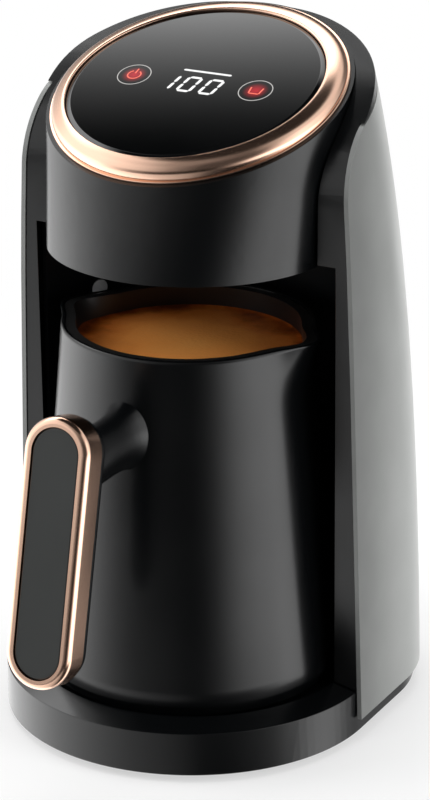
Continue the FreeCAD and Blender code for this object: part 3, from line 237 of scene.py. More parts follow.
def build_world():
    """White where the camera looks past the object, the painted room in mirrors, a plain fill elsewhere."""
    world = bpy.data.worlds.new("studio")
    bpy.context.scene.world = world
    world.use_nodes = True
    tree = world.node_tree
    tree.nodes.clear()
    path = node(tree, "LightPath")
    way = node(tree, "SeparateXYZ")
    link(tree, node(tree, "TexCoord").outputs["Generated"], way.inputs[0])
    ahead = maths(tree, "MULTIPLY", way.outputs["Y"], -1.0)
    turn = maths(tree, "ARCTAN2", way.outputs["X"], ahead)
    turn = maths(tree, "MULTIPLY_ADD", turn, 1 / (2 * math.pi))
    turn.node.inputs[2].default_value = 0.5
    rise = way.outputs["Z"]
    room = blended(tree, eased(tree, rise, *LOW_BLEND), wall_of_light(tree, turn, JUST_BELOW),
                   wall_of_light(tree, turn, WELL_BELOW))
    for limits, stops in ((HORIZON_BLEND, ABOVE), (STRIP_BLEND, STRIP)):
        room = blended(tree, eased(tree, rise, *limits), room, wall_of_light(tree, turn, stops))
    fade = node(tree, "MapRange", in_1=STRIP_DARK, in_2=STRIP_BRIGHT)
    link(tree, facing(tree, STRIP_ACROSS), fade.inputs[0])
    faded = maths(tree, "MULTIPLY", room, maths(tree, "POWER", fade.outputs[0], STRIP_POWER))
    room = blended(tree, eased(tree, rise, *CEILING_BLEND), room, CEILING_DARK)
    room = blended(tree, eased(tree, facing(tree, GLASS_LOOK), *GLASS_CONE), room, faded)
    mirrored = maths(tree, "MAXIMUM", path.outputs["Is Glossy Ray"], path.outputs["Is Transmission Ray"])
    mirrored = maths(tree, "MULTIPLY", mirrored, room)
    diffuse = maths(tree, "MULTIPLY", path.outputs["Is Diffuse Ray"], WORLD_FILL)
    strength = maths(tree, "MAXIMUM", path.outputs["Is Camera Ray"], mirrored)
    strength = maths(tree, "MAXIMUM", strength, diffuse)
    glow = node(tree, "Background", in_0=(1, 1, 1, 1))
    link(tree, strength, glow.inputs[1])
    out = node(tree, "OutputWorld")
    link(tree, glow.outputs[0], out.inputs[0])


build_world()
scene = bpy.context.scene
scene.view_settings.view_transform = "Standard"
print("walls of light", len(JUST_BELOW), len(WELL_BELOW), len(ABOVE), len(STRIP), "stops")

# %% [markdown]
# ## Floor
# The machine stands on a white table that runs off into the white background. Part of the floor's
# brightness is a plain glow that lights nothing. It grows with distance, so the shadow shows close to the
# machine and the far edge can't be told from the background. The floor is hidden from mirrored rays, which
# go on to the painted room, so the bands of light run down each upright wall without a break.

# %% Lay the floor
FLOOR_HALF = 6.0
FLOOR_WHITE = 0.90
FLOOR_GLOW = 0.55
GLOW_NEAR = 0.16
GLOW_FAR = 0.50


def lay_floor():
    """A square plane at the level of the feet."""
    mesh = bpy.data.meshes.new("floor")
    corners = [(-1, -1), (1, -1), (1, 1), (-1, 1)]
    mesh.from_pydata([(x * FLOOR_HALF, y * FLOOR_HALF, 0) for x, y in corners], [], [(0, 1, 2, 3)])
    floor = bpy.data.objects.new("floor", mesh)
    scene.collection.objects.link(floor)
    paint = bpy.data.materials.new("white_table")
    paint.use_nodes = True
    tree = paint.node_tree
    tree.nodes.clear()
    path = node(tree, "LightPath")
    diffuse = node(tree, "BsdfDiffuse", in_0=(FLOOR_WHITE, FLOOR_WHITE, FLOOR_WHITE, 1))
    glow = node(tree, "Emission", in_0=(1, 1, 1, 1), in_1=1.0)
    seen = maths(tree, "MAXIMUM", path.outputs["Is Camera Ray"], path.outputs["Is Glossy Ray"])
    seen = maths(tree, "MAXIMUM", seen, path.outputs["Is Transmission Ray"])
    span = node(tree, "VectorMath", operation="LENGTH")
    link(tree, node(tree, "TexCoord").outputs["Object"], span.inputs[0])
    near = eased(tree, span.outputs["Value"], GLOW_NEAR, GLOW_FAR, FLOOR_GLOW, 1.0)
    share = maths(tree, "MULTIPLY", seen, near)
    mix = node(tree, "MixShader")
    link(tree, share, mix.inputs[0])
    link(tree, diffuse.outputs[0], mix.inputs[1])
    link(tree, glow.outputs[0], mix.inputs[2])
    out = node(tree, "OutputMaterial")
    link(tree, mix.outputs[0], out.inputs[0])
    mesh.materials.append(paint)
    floor.visible_glossy = False
    return floor


floor = lay_floor()
print(floor.name, FLOOR_HALF * 2, "m wide")

# %% [markdown]
# ## Shared surface effects
# No moulded or plated surface is perfectly even. Two effects serve nearly every finish here: a fine
# moulded texture that makes a height, and slow cloudy changes that shift the gloss a little.
# Each is a shader group, built once and placed in each material with its own values.

# %% Make the effect groups
COARSE_SCALE = 0.22
COARSE_SHARE = 0.6
NOISE_LOW = 0.3
NOISE_HIGH = 0.7


def effect_group(name, inputs, outputs):
    """An empty shader group with named float inputs and outputs, and its two end nodes."""
    group = bpy.data.node_groups.new(name, "ShaderNodeTree")
    for label, value in inputs.items():
        kind = "NodeSocketVector" if value is None else "NodeSocketFloat"
        socket = group.interface.new_socket(label, in_out="INPUT", socket_type=kind)
        if value is not None:
            socket.default_value = value
    for label in outputs:
        group.interface.new_socket(label, in_out="OUTPUT", socket_type="NodeSocketFloat")
    return group, group.nodes.new("NodeGroupInput"), group.nodes.new("NodeGroupOutput")


def make_moulded():
    """Fine grain: two sizes of noise added into one height."""
    group, start, end = effect_group("moulded_grain", {"Vector": None, "Scale": 900.0}, ["Height"])
    fine = node(group, "TexNoise", in_Detail=2.0)
    coarse = node(group, "TexNoise", in_Detail=1.0)
    for texture, share in ((fine, 1.0), (coarse, COARSE_SCALE)):
        link(group, start.outputs["Vector"], texture.inputs["Vector"])
        link(group, maths(group, "MULTIPLY", start.outputs["Scale"], share), texture.inputs["Scale"])
    slow = maths(group, "MULTIPLY", coarse.outputs[0], COARSE_SHARE)
    link(group, maths(group, "ADD", fine.outputs[0], slow), end.inputs["Height"])
    return group


def make_clouds():
    """Slow change over the surface: noise squeezed between a low and a high value."""
    inputs = {"Vector": None, "Scale": 20.0, "Low": 0.2, "High": 0.3}
    group, start, end = effect_group("cloudy_gloss", inputs, ["Value"])
    noise = node(group, "TexNoise", in_Detail=3.0)
    link(group, start.outputs["Vector"], noise.inputs["Vector"])
    link(group, start.outputs["Scale"], noise.inputs["Scale"])
    spread = node(group, "MapRange", in_1=NOISE_LOW, in_2=NOISE_HIGH)
    link(group, noise.outputs[0], spread.inputs[0])
    link(group, start.outputs["Low"], spread.inputs[3])
    link(group, start.outputs["High"], spread.inputs[4])
    link(group, spread.outputs[0], end.inputs["Value"])
    return group


GRAIN = make_moulded()
CLOUDS = make_clouds()
print("groups", GRAIN.name, CLOUDS.name)

# %% [markdown]
# ## Finishes
# A finish is a Principled shader with constant values on its own sockets, plus the groups above for the
# parts that change over the surface: the colour drifts very slightly, the gloss is cloudy and a fine
# bump breaks up reflections. The silver-grey skin is also painted paler from front to rear: painted light
# that stands in for the brighter reflection towards the rear of the sides.

# %% Make the finishes
GRAIN_DEEP = 0.0002
TONE_FINER = 1.7
# Share of the painted light, paler to the rear, in the drift of a skin's colour
PAINTED_LIGHT_SHARE = 0.92


def blank(name):
    """A new material: the material itself, its tree and its Principled shader."""
    paint = bpy.data.materials.new(name)
    paint.use_nodes = True
    tree = paint.node_tree
    return paint, tree, tree.nodes["Principled BSDF"]


def group_node(tree, group, **inputs):
    """Place a shader group and set its inputs."""
    placed = tree.nodes.new("ShaderNodeGroup")
    placed.node_tree = group
    for name, value in inputs.items():
        placed.inputs[name].default_value = value
    return placed


def finish(name, colour, gloss, grain=(900.0, 0.02), drift=0.06, cloud=25.0, painted_light_along=None,
           **constants):
    """A finish from a colour, a low and high roughness, and the grain's scale and strength.

    The colour drifts in clouds, or mostly from front to rear between two distances along Y: painted light.
    """
    paint, tree, shader = blank(name)
    for socket, value in constants.items():
        shader.inputs[socket.replace("_", " ")].default_value = value
    place = node(tree, "TexCoord").outputs["Object"]
    clouds = group_node(tree, CLOUDS, Scale=cloud, Low=gloss[0], High=gloss[1])
    link(tree, place, clouds.inputs["Vector"])
    link(tree, clouds.outputs["Value"], shader.inputs["Roughness"])
    tone = group_node(tree, CLOUDS, Scale=cloud * TONE_FINER, Low=0.0, High=1.0)
    link(tree, place, tone.inputs["Vector"])
    mix = node(tree, "Mix", data_type="RGBA")
    mix.inputs["A"].default_value = (*[channel * (1 - drift) for channel in colour], 1)
    mix.inputs["B"].default_value = (*[min(1, channel * (1 + drift)) for channel in colour], 1)
    share = tone.outputs["Value"]
    # Painted light: the colour is painted paler from front to rear, standing in for the brighter reflection
    # there.
    if painted_light_along:
        parts = node(tree, "SeparateXYZ")
        link(tree, place, parts.inputs[0])
        share = blended(tree, PAINTED_LIGHT_SHARE, share, eased(tree, parts.outputs["Y"], *painted_light_along))
    link(tree, share, mix.inputs["Factor"])
    link(tree, mix.outputs["Result"], shader.inputs["Base Color"])
    if grain[1] > 0:
        texture = group_node(tree, GRAIN, Scale=grain[0])
        link(tree, place, texture.inputs["Vector"])
        bump = node(tree, "Bump", in_Strength=grain[1], in_Distance=GRAIN_DEEP)
        link(tree, texture.outputs["Height"], bump.inputs["Height"])
        link(tree, bump.outputs[0], shader.inputs["Normal"])
    return paint


# Finishes by the record's material slots.
FINISHES = {
    "black_plastic": finish("satin_black", (0.0018, 0.0021, 0.0024), (0.20, 0.26), grain=(1500.0, 0.015)),
    "base_plastic": finish("base_black", (0.0018, 0.0021, 0.0024), (0.19, 0.25), grain=(1200.0, 0.03)),
    # The silver-grey skin is painted paler from front to rear, painted light standing in for reflection.
    "silver_plastic": finish("silver_grey", (0.395, 0.405, 0.395), (0.30, 0.38), grain=(1800.0, 0.02),
                             drift=0.50, painted_light_along=(-0.006, 0.056), Metallic=0.35),
    "liner_plastic": finish("bay_black", (0.0035, 0.0042, 0.0052), (0.38, 0.5), grain=(900.0, 0.05)),
    "hidden_plastic": finish("plain_grey", (0.08, 0.08, 0.08), (0.45, 0.6), grain=(700.0, 0.08)),
    "rose_gold": finish("rose_gold", (0.90, 0.58, 0.43), (0.14, 0.20), grain=(2500.0, 0.01),
                        drift=0.02, Metallic=1.0),
    "black_glass": finish("black_glass", (0.0015, 0.0017, 0.0018), (0.02, 0.04), grain=(300.0, 0.0)),
    "steel": finish("pot_steel", (0.30, 0.30, 0.31), (0.28, 0.38), grain=(1500.0, 0.03), Metallic=1.0),
    "aluminium": finish("cast_aluminium", (0.55, 0.55, 0.56), (0.38, 0.5), grain=(500.0, 0.15), Metallic=1.0),
    "brass": finish("plated_brass", (0.72, 0.50, 0.20), (0.2, 0.3), grain=(900.0, 0.04), Metallic=1.0),
    "rubber": finish("foot_rubber", (0.02, 0.02, 0.02), (0.7, 0.85), grain=(600.0, 0.2)),
    "clear_seal": finish("silicone", (0.5, 0.5, 0.47), (0.4, 0.5), grain=(600.0, 0.05)),
    "circuit_board": finish("board_green", (0.02, 0.14, 0.05), (0.3, 0.42), grain=(1400.0, 0.1)),
    "component_black": finish("component_black", (0.02, 0.02, 0.02), (0.4, 0.5), grain=(900.0, 0.1)),
    "component_blue": finish("component_blue", (0.03, 0.09, 0.28), (0.35, 0.45), grain=(900.0, 0.05)),
    "component_yellow": finish("component_yellow", (0.55, 0.42, 0.06), (0.35, 0.45), grain=(900.0, 0.05)),
    "display_face": finish("display_red", (0.2, 0.02, 0.02), (0.3, 0.4), grain=(900.0, 0.02)),
    "light_guide": finish("light_guide", (0.7, 0.7, 0.7), (0.25, 0.35), grain=(900.0, 0.03)),
    "lead_sleeve": finish("lead_red", (0.30, 0.02, 0.02), (0.45, 0.55), grain=(500.0, 0.1)),
    "pad_plastic": finish("pad_grey", (0.020, 0.022, 0.021), (0.30, 0.36), grain=(1600.0, 0.02)),
}


def dress(thing, paint):
    """Give a mesh one finish."""
    thing.data.materials.clear()
    thing.data.materials.append(paint)


SLOT_OF = {row["node"]: row["material_slot"] for row in frame["record"]["subparts"]}
for name, thing in frame["nodes"].items():
    dress(thing, FINISHES[SLOT_OF[name]])
print("finished", len(SLOT_OF), "nodes")

# %% [markdown]
# ## Shapes from profiles
# Most of the machine is round, so most pieces can be made the way a potter makes them: one profile is
# carried all the way round an axis. Each row of points is one level of the profile and each column is
# one direction. The rows and columns become four-sided faces in one step.

# %% Make a skin from rows of points
AROUND = 288
SHARP = math.radians(35)
turns = np.linspace(0, 2 * np.pi, AROUND, endpoint=False)


def settle(name, vertices, faces, slot, body, *stands_for):
    """A piece from points in millimetres: normals point outwards and only real edges stay sharp."""
    mesh = bpy.data.meshes.new(name)
    mesh.from_pydata((np.asarray(vertices) * MM).tolist(), [], faces)
    work = bmesh.new()
    work.from_mesh(mesh)
    bmesh.ops.recalc_face_normals(work, faces=work.faces)
    work.to_mesh(mesh)
    work.free()
    mesh.shade_smooth()
    mesh.set_sharp_from_angle(angle=SHARP)
    piece = bpy.data.objects.new(name, mesh)
    scene.collection.objects.link(piece)
    dress(piece, FINISHES[slot])
    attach(piece, body)
    if stands_for:
        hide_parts(*stands_for)
    return piece


def skin(points, closed=False):
    """Faces over a grid of points whose columns run all the way round.

    Face (row, column) joins a point, its neighbour in the next column, that one's neighbour in the next
    row and the point in the next row. A closed profile joins its last row to its first. An open one is
    shut at both ends by triangles to the middle of the end row.
    """
    rows, columns, _ = points.shape
    index = np.arange(rows * columns).reshape(rows, columns)
    beside = np.roll(index, -1, axis=1)
    keep = slice(None) if closed else slice(0, rows - 1)
    corners = (index, beside, np.roll(beside, -1, axis=0), np.roll(index, -1, axis=0))
    faces = np.stack([corner[keep] for corner in corners], axis=-1).reshape(-1, 4).tolist()
    vertices = points.reshape(-1, 3)
    if not closed:
        poles = np.stack([points[0].mean(axis=0), points[-1].mean(axis=0)])
        for pole, row in enumerate((0, rows - 1)):
            middle = np.full(columns, len(vertices) + pole)
            faces += np.stack([index[row], beside[row], middle], axis=-1).tolist()
        vertices = np.concatenate([vertices, poles])
    return vertices, faces


print("skins have", AROUND, "columns")

# %% [markdown]
# ## The jug
# The jug narrows upwards in a straight taper, and near the rim it is drawn out into a pouring spout on
# each side. The radius is a sum: the taper, plus a bell-shaped bump in two directions that grows with the
# square of the height above the level where the spouts begin. The wall is that surface and a second one
# set inwards, joined over a rounded lip.

# %% Make the jug shell
JUG_FOOT = 24.0
JUG_RIM = 153.4
JUG_RIM_RADIUS = 46.5
JUG_SLOPE = 0.0811
SPOUT_START = 129.0
SPOUT_RISE = 24.4
SPOUT_LONG = 6.5
SPOUT_SPREAD = math.radians(13)
JUG_WALL = 1.8


def jug_radius(level, angle):
    """Taper by level, plus the spout: length times bell of the angle times the squared rise."""
    off = (angle + np.pi / 2) % np.pi - np.pi / 2
    bell = np.exp(-(off / SPOUT_SPREAD) ** 2)
    rise = np.clip((level - SPOUT_START) / SPOUT_RISE, 0, None)
    return JUG_RIM_RADIUS + JUG_SLOPE * (JUG_RIM - level) + SPOUT_LONG * bell * rise ** 2


def circled(radius, level):
    """Points at a radius in each direction and at a level: radius times cosine and sine, and the level."""
    height = np.broadcast_to(level, radius.shape)
    return np.stack([radius * np.cos(turns), radius * np.sin(turns), height], axis=-1)


def jug_rows(profile):
    """Points of (inset, level) pairs: the jug's radius less the inset, in each direction."""
    inset, level = np.array(profile, dtype=float).T[:, :, None]
    return circled(jug_radius(level, turns[None, :]) - inset, level)


outer = [(0.9, JUG_FOOT), (0.25, JUG_FOOT + 0.25), (0, JUG_FOOT + 0.9)]
outer += [(0, level) for level in (*np.linspace(30, 126, 17), *np.linspace(128, 152, 17))]
lip = [(0, 152.6), (0.2, 153.1), (0.6, 153.35), (1.0, JUG_RIM), (1.4, 153.35), (1.7, 153.1),
       (JUG_WALL, 152.6)]
inner = [(JUG_WALL, level) for level in (*np.linspace(151, 128, 12), 100, 60, JUG_FOOT + 0.4)]
jug_skin = skin(jug_rows(outer + lip + inner), closed=True)
jug = settle("jug_body", *jug_skin, "black_plastic", "jug", "jug_shell")
print("jug", len(jug.data.polygons), "faces")

# %% [markdown]
# ## Softened edges
# A moulded part never has a knife edge: the tool leaves a small radius that catches the light as a thin
# line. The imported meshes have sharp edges, so the big outer mouldings are copied, their loose triangles are
# merged and flat areas joined, and a bevel modifier rounds every edge that is steeper than its limit.

# %% Soften the mouldings
SAME_POINT = 0.004
FLAT_ENOUGH = math.radians(0.6)
EDGE_LIMIT = math.radians(32)
EDGE_STEPS = 3


def softened(name, radius):
    """A merged copy of a node with its sharp edges rounded to a radius in millimetres."""
    mesh = frame["nodes"][name].data.copy()
    mesh.name = "soft_" + name
    work = bmesh.new()
    work.from_mesh(mesh)
    bmesh.ops.remove_doubles(work, verts=work.verts, dist=SAME_POINT * MM)
    bmesh.ops.dissolve_limit(work, angle_limit=FLAT_ENOUGH, verts=work.verts, edges=work.edges)
    work.to_mesh(mesh)
    work.free()
    mesh.shade_smooth()
    mesh.set_sharp_from_angle(angle=EDGE_LIMIT)
    piece = bpy.data.objects.new("soft_" + name, mesh)
    scene.collection.objects.link(piece)
    bevel = piece.modifiers.new("edge", "BEVEL")
    bevel.width = radius * MM
    bevel.segments = EDGE_STEPS
    bevel.limit_method = "ANGLE"
    bevel.angle_limit = EDGE_LIMIT
    bevel.harden_normals = True
    dress(piece, FINISHES[SLOT_OF[name]])
    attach(piece, "housing")
    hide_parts(name)
    return piece


EDGE_RADII = {"base_tray": 0.8, "front_frame": 0.5, "rear_shell": 0.5, "right_side_panel": 0.3,
              "left_side_panel": 0.3, "head_shell": 0.5}
soft = [softened(name, radius) for name, radius in EDGE_RADII.items()]
print("softened", [piece.name for piece in soft])

# %% [markdown]
# ## The coffee
# Fresh coffee stands a little below the rim: light tan foam in the middle, darker where it meets the pot.
# It is a thin slab cut to the pot's outline, with its edge drawn up the wall a little. Its colour comes
# from its own distance to the middle and from noise for the foam, and is painted brighter than the foam's own
# colour: painted light that makes up for the shade under the head. The pot's inside is painted near black:
# painted shade where the head shades the jug.

# %% Make the coffee
COFFEE_LEVEL = 144.2
POT_INSET = 5.45
FOAM_PATCHES = 55.0
FOAM_WANDER = 0.030
FOAM_REACH = 0.0425
BUBBLES_FINE = 700.0
BUBBLES_DEEP = 0.0003
# The foam colours are painted nearly twice as bright as the foam itself: painted light for the shade under
# the head.
FOAM_STOPS_PAINTED_BRIGHT = [(0.0, (1.0, 0.42, 0.105)), (0.55, (0.98, 0.36, 0.080)), (0.80, (0.80, 0.23, 0.040)),
              (0.93, (0.42, 0.085, 0.008)), (1.0, (0.14, 0.028, 0.004))]


def coffee_rows():
    """Circles that shrink towards the middle; the surface rises to the wall in a small curve."""
    share = np.array([1.0, 1.0, 0.995, 0.985, 0.97, 0.94, 0.88, 0.7, 0.45, 0.2])[:, None]
    level = np.array([-4.0, 0.9, 0.75, 0.5, 0.28, 0.12, 0.04, 0.0, 0.0, 0.0])[:, None] + COFFEE_LEVEL
    radius = (jug_radius(np.full_like(share, COFFEE_LEVEL), turns[None, :]) - POT_INSET) * share
    return circled(radius, level)


def coffee_finish():
    """Tan foam in the middle that darkens to brown at the wall, with fine bubbles in the relief.

    The colours are painted brighter than the foam's own: painted light for the shade under the head.
    """
    paint, tree, shader = blank("coffee_foam")
    shader.inputs["Specular IOR Level"].default_value = 0.25
    place = node(tree, "TexCoord").outputs["Object"]
    flat = node(tree, "VectorMath", operation="MULTIPLY", in_1=(1, 1, 0))
    link(tree, place, flat.inputs[0])
    span = node(tree, "VectorMath", operation="LENGTH")
    link(tree, flat.outputs[0], span.inputs[0])
    wander = node(tree, "TexNoise", in_Scale=FOAM_PATCHES, in_Detail=4.0)
    link(tree, place, wander.inputs["Vector"])
    drift = maths(tree, "MULTIPLY", maths(tree, "ADD", wander.outputs[0], -0.5), FOAM_WANDER)
    reach = node(tree, "MapRange", in_1=0.0, in_2=FOAM_REACH)
    link(tree, maths(tree, "ADD", span.outputs["Value"], drift), reach.inputs[0])
    link(tree, through(tree, reach.outputs[0], FOAM_STOPS_PAINTED_BRIGHT), shader.inputs["Base Color"])
    bubbles = node(tree, "TexVoronoi", in_Scale=BUBBLES_FINE)
    link(tree, place, bubbles.inputs["Vector"])
    bump = node(tree, "Bump", in_Strength=0.25, in_Distance=BUBBLES_DEEP)
    link(tree, bubbles.outputs["Distance"], bump.inputs["Height"])
    link(tree, bump.outputs[0], shader.inputs["Normal"])
    gloss = group_node(tree, CLOUDS, Scale=60.0, Low=0.34, High=0.5)
    link(tree, place, gloss.inputs["Vector"])
    link(tree, gloss.outputs["Value"], shader.inputs["Roughness"])
    return paint


# The steel pot's inside is painted near black: painted shade for the dark inside of the jug under the head.
POT_PAINTED_SHADE = finish("pot_painted_shade", (0.05, 0.05, 0.05), (0.30, 0.40), Metallic=0.8)
dress(frame["nodes"]["inner_pot"], POT_PAINTED_SHADE)
coffee = settle("coffee", *skin(coffee_rows()), "liner_plastic", "jug")
dress(coffee, coffee_finish())
print("coffee at", COFFEE_LEVEL, "mm")

# %% [markdown]
# ## The ring round the glass
# The rose gold ring leans back with the head. Its foot is a circle on the head's sloping top and its crest
# is a smaller circle in a plane a little less tilted, so its face is nearly upright at the front and nearly
# flat at the rear. The face swells slightly between the two, rolls over at the crest and drops to the glass.

# %% Make the ring
HEAD_PLANE = (9.2, 236.9, math.radians(22.5))
CREST_PLANE = (5.6, 241.7, math.radians(20.4))
FOOT_RADIUS = 53.9
FOOT_RISE = 0.95
CREST_RADIUS = 47.8
BOW_WAY = (0.92, 0.38)
RING_SWELL = 1.45


def leaning(across, along, height, plane):
    """Points across, up the slope of and above a plane that leans back.

    The plane is the y and z of its middle and its tilt. Going up the slope adds its cosine to y and its
    sine to z, and rising above it takes the sine from y and adds the cosine to z.
    """
    middle_y, middle_z, tilt = plane
    y = middle_y + along * math.cos(tilt) - height * math.sin(tilt)
    z = middle_z + along * math.sin(tilt) + height * math.cos(tilt)
    return np.stack([across, y, z], axis=-1)


def on_plane(radius, height, plane):
    """Circle of a radius at a height above a leaning plane."""
    return leaning(radius * np.cos(turns), radius * np.sin(turns), height, plane)


def swell(shares, bulge):
    """Rows from the foot to the crest: straight between them, plus a bow outwards and upwards."""
    low, high = on_plane(FOOT_RADIUS, FOOT_RISE, HEAD_PLANE), on_plane(CREST_RADIUS, 0.0, CREST_PLANE)
    bow = on_plane(*BOW_WAY, HEAD_PLANE) - on_plane(0.0, 0.0, HEAD_PLANE)
    shares = np.asarray(shares)[:, None, None]
    return low + (high - low) * shares + bow * bulge * 4 * shares * (1 - shares)


foot_rows = [on_plane(*spot, HEAD_PLANE) for spot in
             ((50.0, 0.02), (54.5, 0.0), (54.68, 0.12), (54.7, 0.7), (54.55, 0.88), (54.2, 0.93))]
crest_rows = [on_plane(*spot, CREST_PLANE) for spot in
              ((47.55, -0.04), (47.32, -0.22), (47.22, -0.5), (47.2, -2.6))]
ring_rows = np.concatenate([foot_rows, swell(np.linspace(0, 1, 14), RING_SWELL), crest_rows])
ring = settle("ring_body", *skin(ring_rows, closed=True), "rose_gold", "housing", "trim_ring")
print("ring", len(ring.data.polygons), "faces")

# %% [markdown]
# ## The touch glass and its lights
# The glass is one black disc with an eased edge. What shines through it is drawn as very thin tiles on
# its surface: a leaning seven-bar number, a bar under it, and a round outline with a soft red glow at each
# of the two touch places. The marks are plain shapes and no words.

# %% Make the glass
GLASS_TOP = -0.7
GLASS_UNDER = -2.7
GLASS_EDGE = ((24.0, GLASS_UNDER), (46.9, GLASS_UNDER), (46.9, -1.35), (46.8, -1.15), (46.3, -0.95),
              (45.5, -0.76))
GLASS_FACE = (45.3, 45.2, 45.0, 40.0, 24.0, 10.0)
glass_profile = (*GLASS_EDGE, *((radius, GLASS_TOP) for radius in GLASS_FACE))
glass_rows = np.stack([on_plane(radius, height, CREST_PLANE) for radius, height in glass_profile])
glass = settle("glass_disc", *skin(glass_rows), "black_glass", "housing", "touch_glass")
print("glass", len(glass.data.polygons), "faces")

# %% [markdown]
# A tile is a flat outline with a little thickness. The outline is given in the glass's own directions,
# across and up the slope, and every tile of a colour goes into one mesh.

# %% Define the tiles and strokes
SLANT = 0.16
BAR_GAP = 0.12
ONE = ("up_right", "low_right")
ZERO = ("top", "low", "up_left", "up_right", "low_left", "low_right")


def tiles(name, outlines, paint, rise=0.02, thick=0.04):
    """Closed prisms over the glass, one for each outline of (across, up) points."""
    vertices, faces = [], []
    for outline in outlines:
        across, along = np.asarray(outline, dtype=float).T
        count, start = len(across), sum(len(block) for block in vertices)
        for height in (GLASS_TOP + rise, GLASS_TOP + rise + thick):
            vertices.append(leaning(across, along, height, CREST_PLANE))
        here = np.arange(count)
        beside = np.roll(here, -1)
        sides = np.stack([here, beside, beside + count, here + count], axis=-1) + start
        faces += sides.tolist() + [(here + start).tolist(), (here + count + start).tolist()]
    dress(settle(name, np.concatenate(vertices), faces, "display_face", "housing"), paint)


def hoop(middle, radius, wide, parts=48, first=0.0, last=360.0):
    """Outlines of a round line, cut into short flat pieces so that each outline is simple."""
    edges = np.radians(np.linspace(first, last, parts + 1))
    cos, sin = np.cos(edges), np.sin(edges)
    return [[(middle[0] + span * cos[at], middle[1] + span * sin[at]) for span, at in
             ((radius, step), (radius + wide, step), (radius + wide, step + 1), (radius, step + 1))]
            for step in range(parts)]


def bar(start, end, wide):
    """Outline of a straight stroke with pointed ends."""
    start, end = np.array(start), np.array(end)
    along = (end - start) / np.linalg.norm(end - start)
    side = np.array([-along[1], along[0]]) * wide / 2
    tuck = along * wide / 2
    return [start, start + tuck + side, end - tuck + side, end, end - tuck - side, start + tuck - side]


def digit(lit, left, foot, wide=4.9, high=8.6, stroke=1.15):
    """Outlines of the lit bars of a seven-bar digit, leaning to the right as it rises."""
    half = high / 2
    ends = {"top": ((0, high), (wide, high)), "low": ((0, 0), (wide, 0)),
            "up_left": ((0, half), (0, high)), "up_right": ((wide, half), (wide, high)),
            "low_left": ((0, 0), (0, half)), "low_right": ((wide, 0), (wide, half))}
    shapes = []
    for name in lit:
        start, end = (np.array(point, dtype=float) for point in ends[name])
        step = (end - start) / np.linalg.norm(end - start) * BAR_GAP
        outline = np.array(bar(start + step, end - step, stroke))
        outline[:, 0] += outline[:, 1] * SLANT + left
        outline[:, 1] += foot
        shapes.append(outline)
    return shapes


print("a zero has", len(digit(ZERO, 0, 0)), "bars")

# %% [markdown]
# A lit tile needs two finishes: a plain glow for strokes, and a red one that fades outwards. The fade is
# measured on the slope of the glass, from the middle of a touch place, in the piece's own coordinates.

# %% Define the lit finishes
BUTTONS = ((-24.6, -0.5), (24.6, -0.5))
GLASS_BLACK = (0.0015, 0.0017, 0.0018, 1)
GLOW_RED = (0.50, 0.010, 0.022, 1)
GLOW_REACH = 0.0052


def lit_colour(tree, shader, share, colour):
    """Lead a colour, dimmed by a share, to the shader's glow."""
    shade = node(tree, "Mix", data_type="RGBA")
    shade.inputs["A"].default_value = (0, 0, 0, 1)
    shade.inputs["B"].default_value = colour
    link(tree, share, shade.inputs["Factor"])
    link(tree, shade.outputs["Result"], shader.inputs["Emission Color"])


def lit_finish(name, colour, strength):
    """A tile that glows in one colour, a little unevenly."""
    paint, tree, shader = blank(name)
    shader.inputs["Base Color"].default_value = (0.01, 0.01, 0.01, 1)
    shader.inputs["Roughness"].default_value = 0.3
    shader.inputs["Emission Strength"].default_value = strength
    tone = group_node(tree, CLOUDS, Scale=900.0, Low=0.9, High=1.0)
    link(tree, node(tree, "TexCoord").outputs["Object"], tone.inputs["Vector"])
    lit_colour(tree, shader, tone.outputs["Value"], (*colour, 1))
    return paint


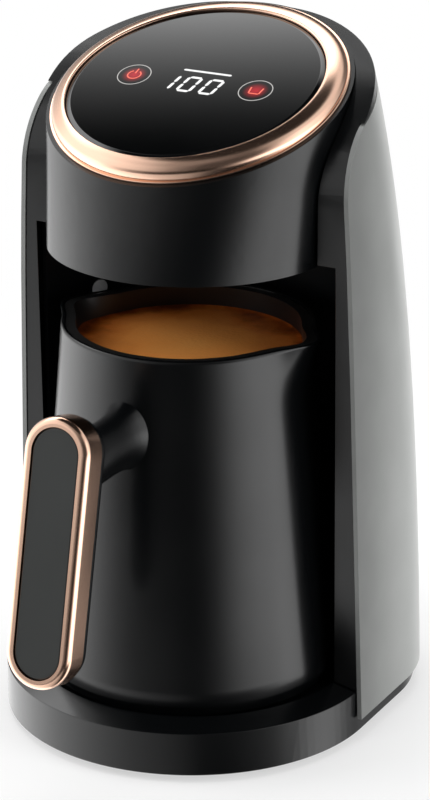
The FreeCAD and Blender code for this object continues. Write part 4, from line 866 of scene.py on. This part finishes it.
def glow_finish():
    """Dark glass that glows red round the middle of each touch place and fades outwards.

    The two places mirror each other in X, so one distance to the right place serves both.
    """
    paint, tree, shader = blank("red_glow")
    shader.inputs["Base Color"].default_value = GLASS_BLACK
    shader.inputs["Roughness"].default_value = 0.03
    shader.inputs["Emission Strength"].default_value = 1.0
    spot = leaning(*BUTTONS[1], GLASS_TOP, CREST_PLANE) * MM
    folded = node(tree, "VectorMath", operation="ABSOLUTE")
    link(tree, node(tree, "TexCoord").outputs["Object"], folded.inputs[0])
    apart = node(tree, "VectorMath", operation="SUBTRACT", in_1=(spot[0], 0, spot[2]))
    link(tree, folded.outputs[0], apart.inputs[0])
    span = node(tree, "VectorMath", operation="MULTIPLY", in_1=(1, 0, 1 / math.sin(CREST_PLANE[2])))
    link(tree, apart.outputs[0], span.inputs[0])
    reach = node(tree, "VectorMath", operation="LENGTH")
    link(tree, span.outputs[0], reach.inputs[0])
    lit_colour(tree, shader, eased(tree, reach.outputs["Value"], 0.0, GLOW_REACH, 1.0, 0.0), GLOW_RED)
    return paint


print("glow reaches", GLOW_REACH / MM, "mm")

# %% [markdown]
# The number stands in the middle with its bar above it. Each touch place has a round outline, a pool of red
# glow under it and a plain mark: a broken circle with a stroke, and an open cup.

# %% Make the lit marks
DIGITS = ((ONE, -13.0), (ZERO, -4.4), (ZERO, 4.4))
DIGIT_FOOT = -6.2
BAR_ENDS = ((-7.7, 6.4), (11.8, 6.3))
BAR_WIDE = 1.0
RIM_RADIUS = 6.0
RIM_WIDE = 0.35
POOL_RADIUS = 5.7
STROKE_WIDE = 0.6
ON_STROKE = ((-24.6, 0.2), (-24.6, 3.4))
CUP_STROKES = (((22.6, -2.4), (26.6, -2.4)), ((22.6, -2.4), (22.2, 1.4)), ((26.6, -2.4), (27.0, 1.4)))

number = [outline for lit, left in DIGITS for outline in digit(lit, left, DIGIT_FOOT)]
lines = number + [bar(*BAR_ENDS, BAR_WIDE)]
tiles("lit_number", lines, lit_finish("white_light", (1.0, 1.0, 1.0), 1.0))

rims = [outline for spot in BUTTONS for outline in hoop(spot, RIM_RADIUS, RIM_WIDE)]
tiles("button_rims", rims, lit_finish("dim_light", (0.62, 0.60, 0.58), 0.8))

edge = np.linspace(0, 2 * np.pi, 48, endpoint=False)
circle = POOL_RADIUS * np.stack([np.cos(edge), np.sin(edge)], axis=-1)
tiles("button_glow", [circle + spot for spot in BUTTONS], glow_finish(), rise=0.005, thick=0.01)

marks = hoop(BUTTONS[0], radius=2.2, wide=0.55, parts=24, first=120, last=420)
marks += [bar(start, end, STROKE_WIDE) for start, end in (ON_STROKE, *CUP_STROKES)]
tiles("button_marks", marks, lit_finish("red_light", (1.0, 0.10, 0.04), 1.0))
print("lit outlines", len(lines) + len(rims) + len(marks))
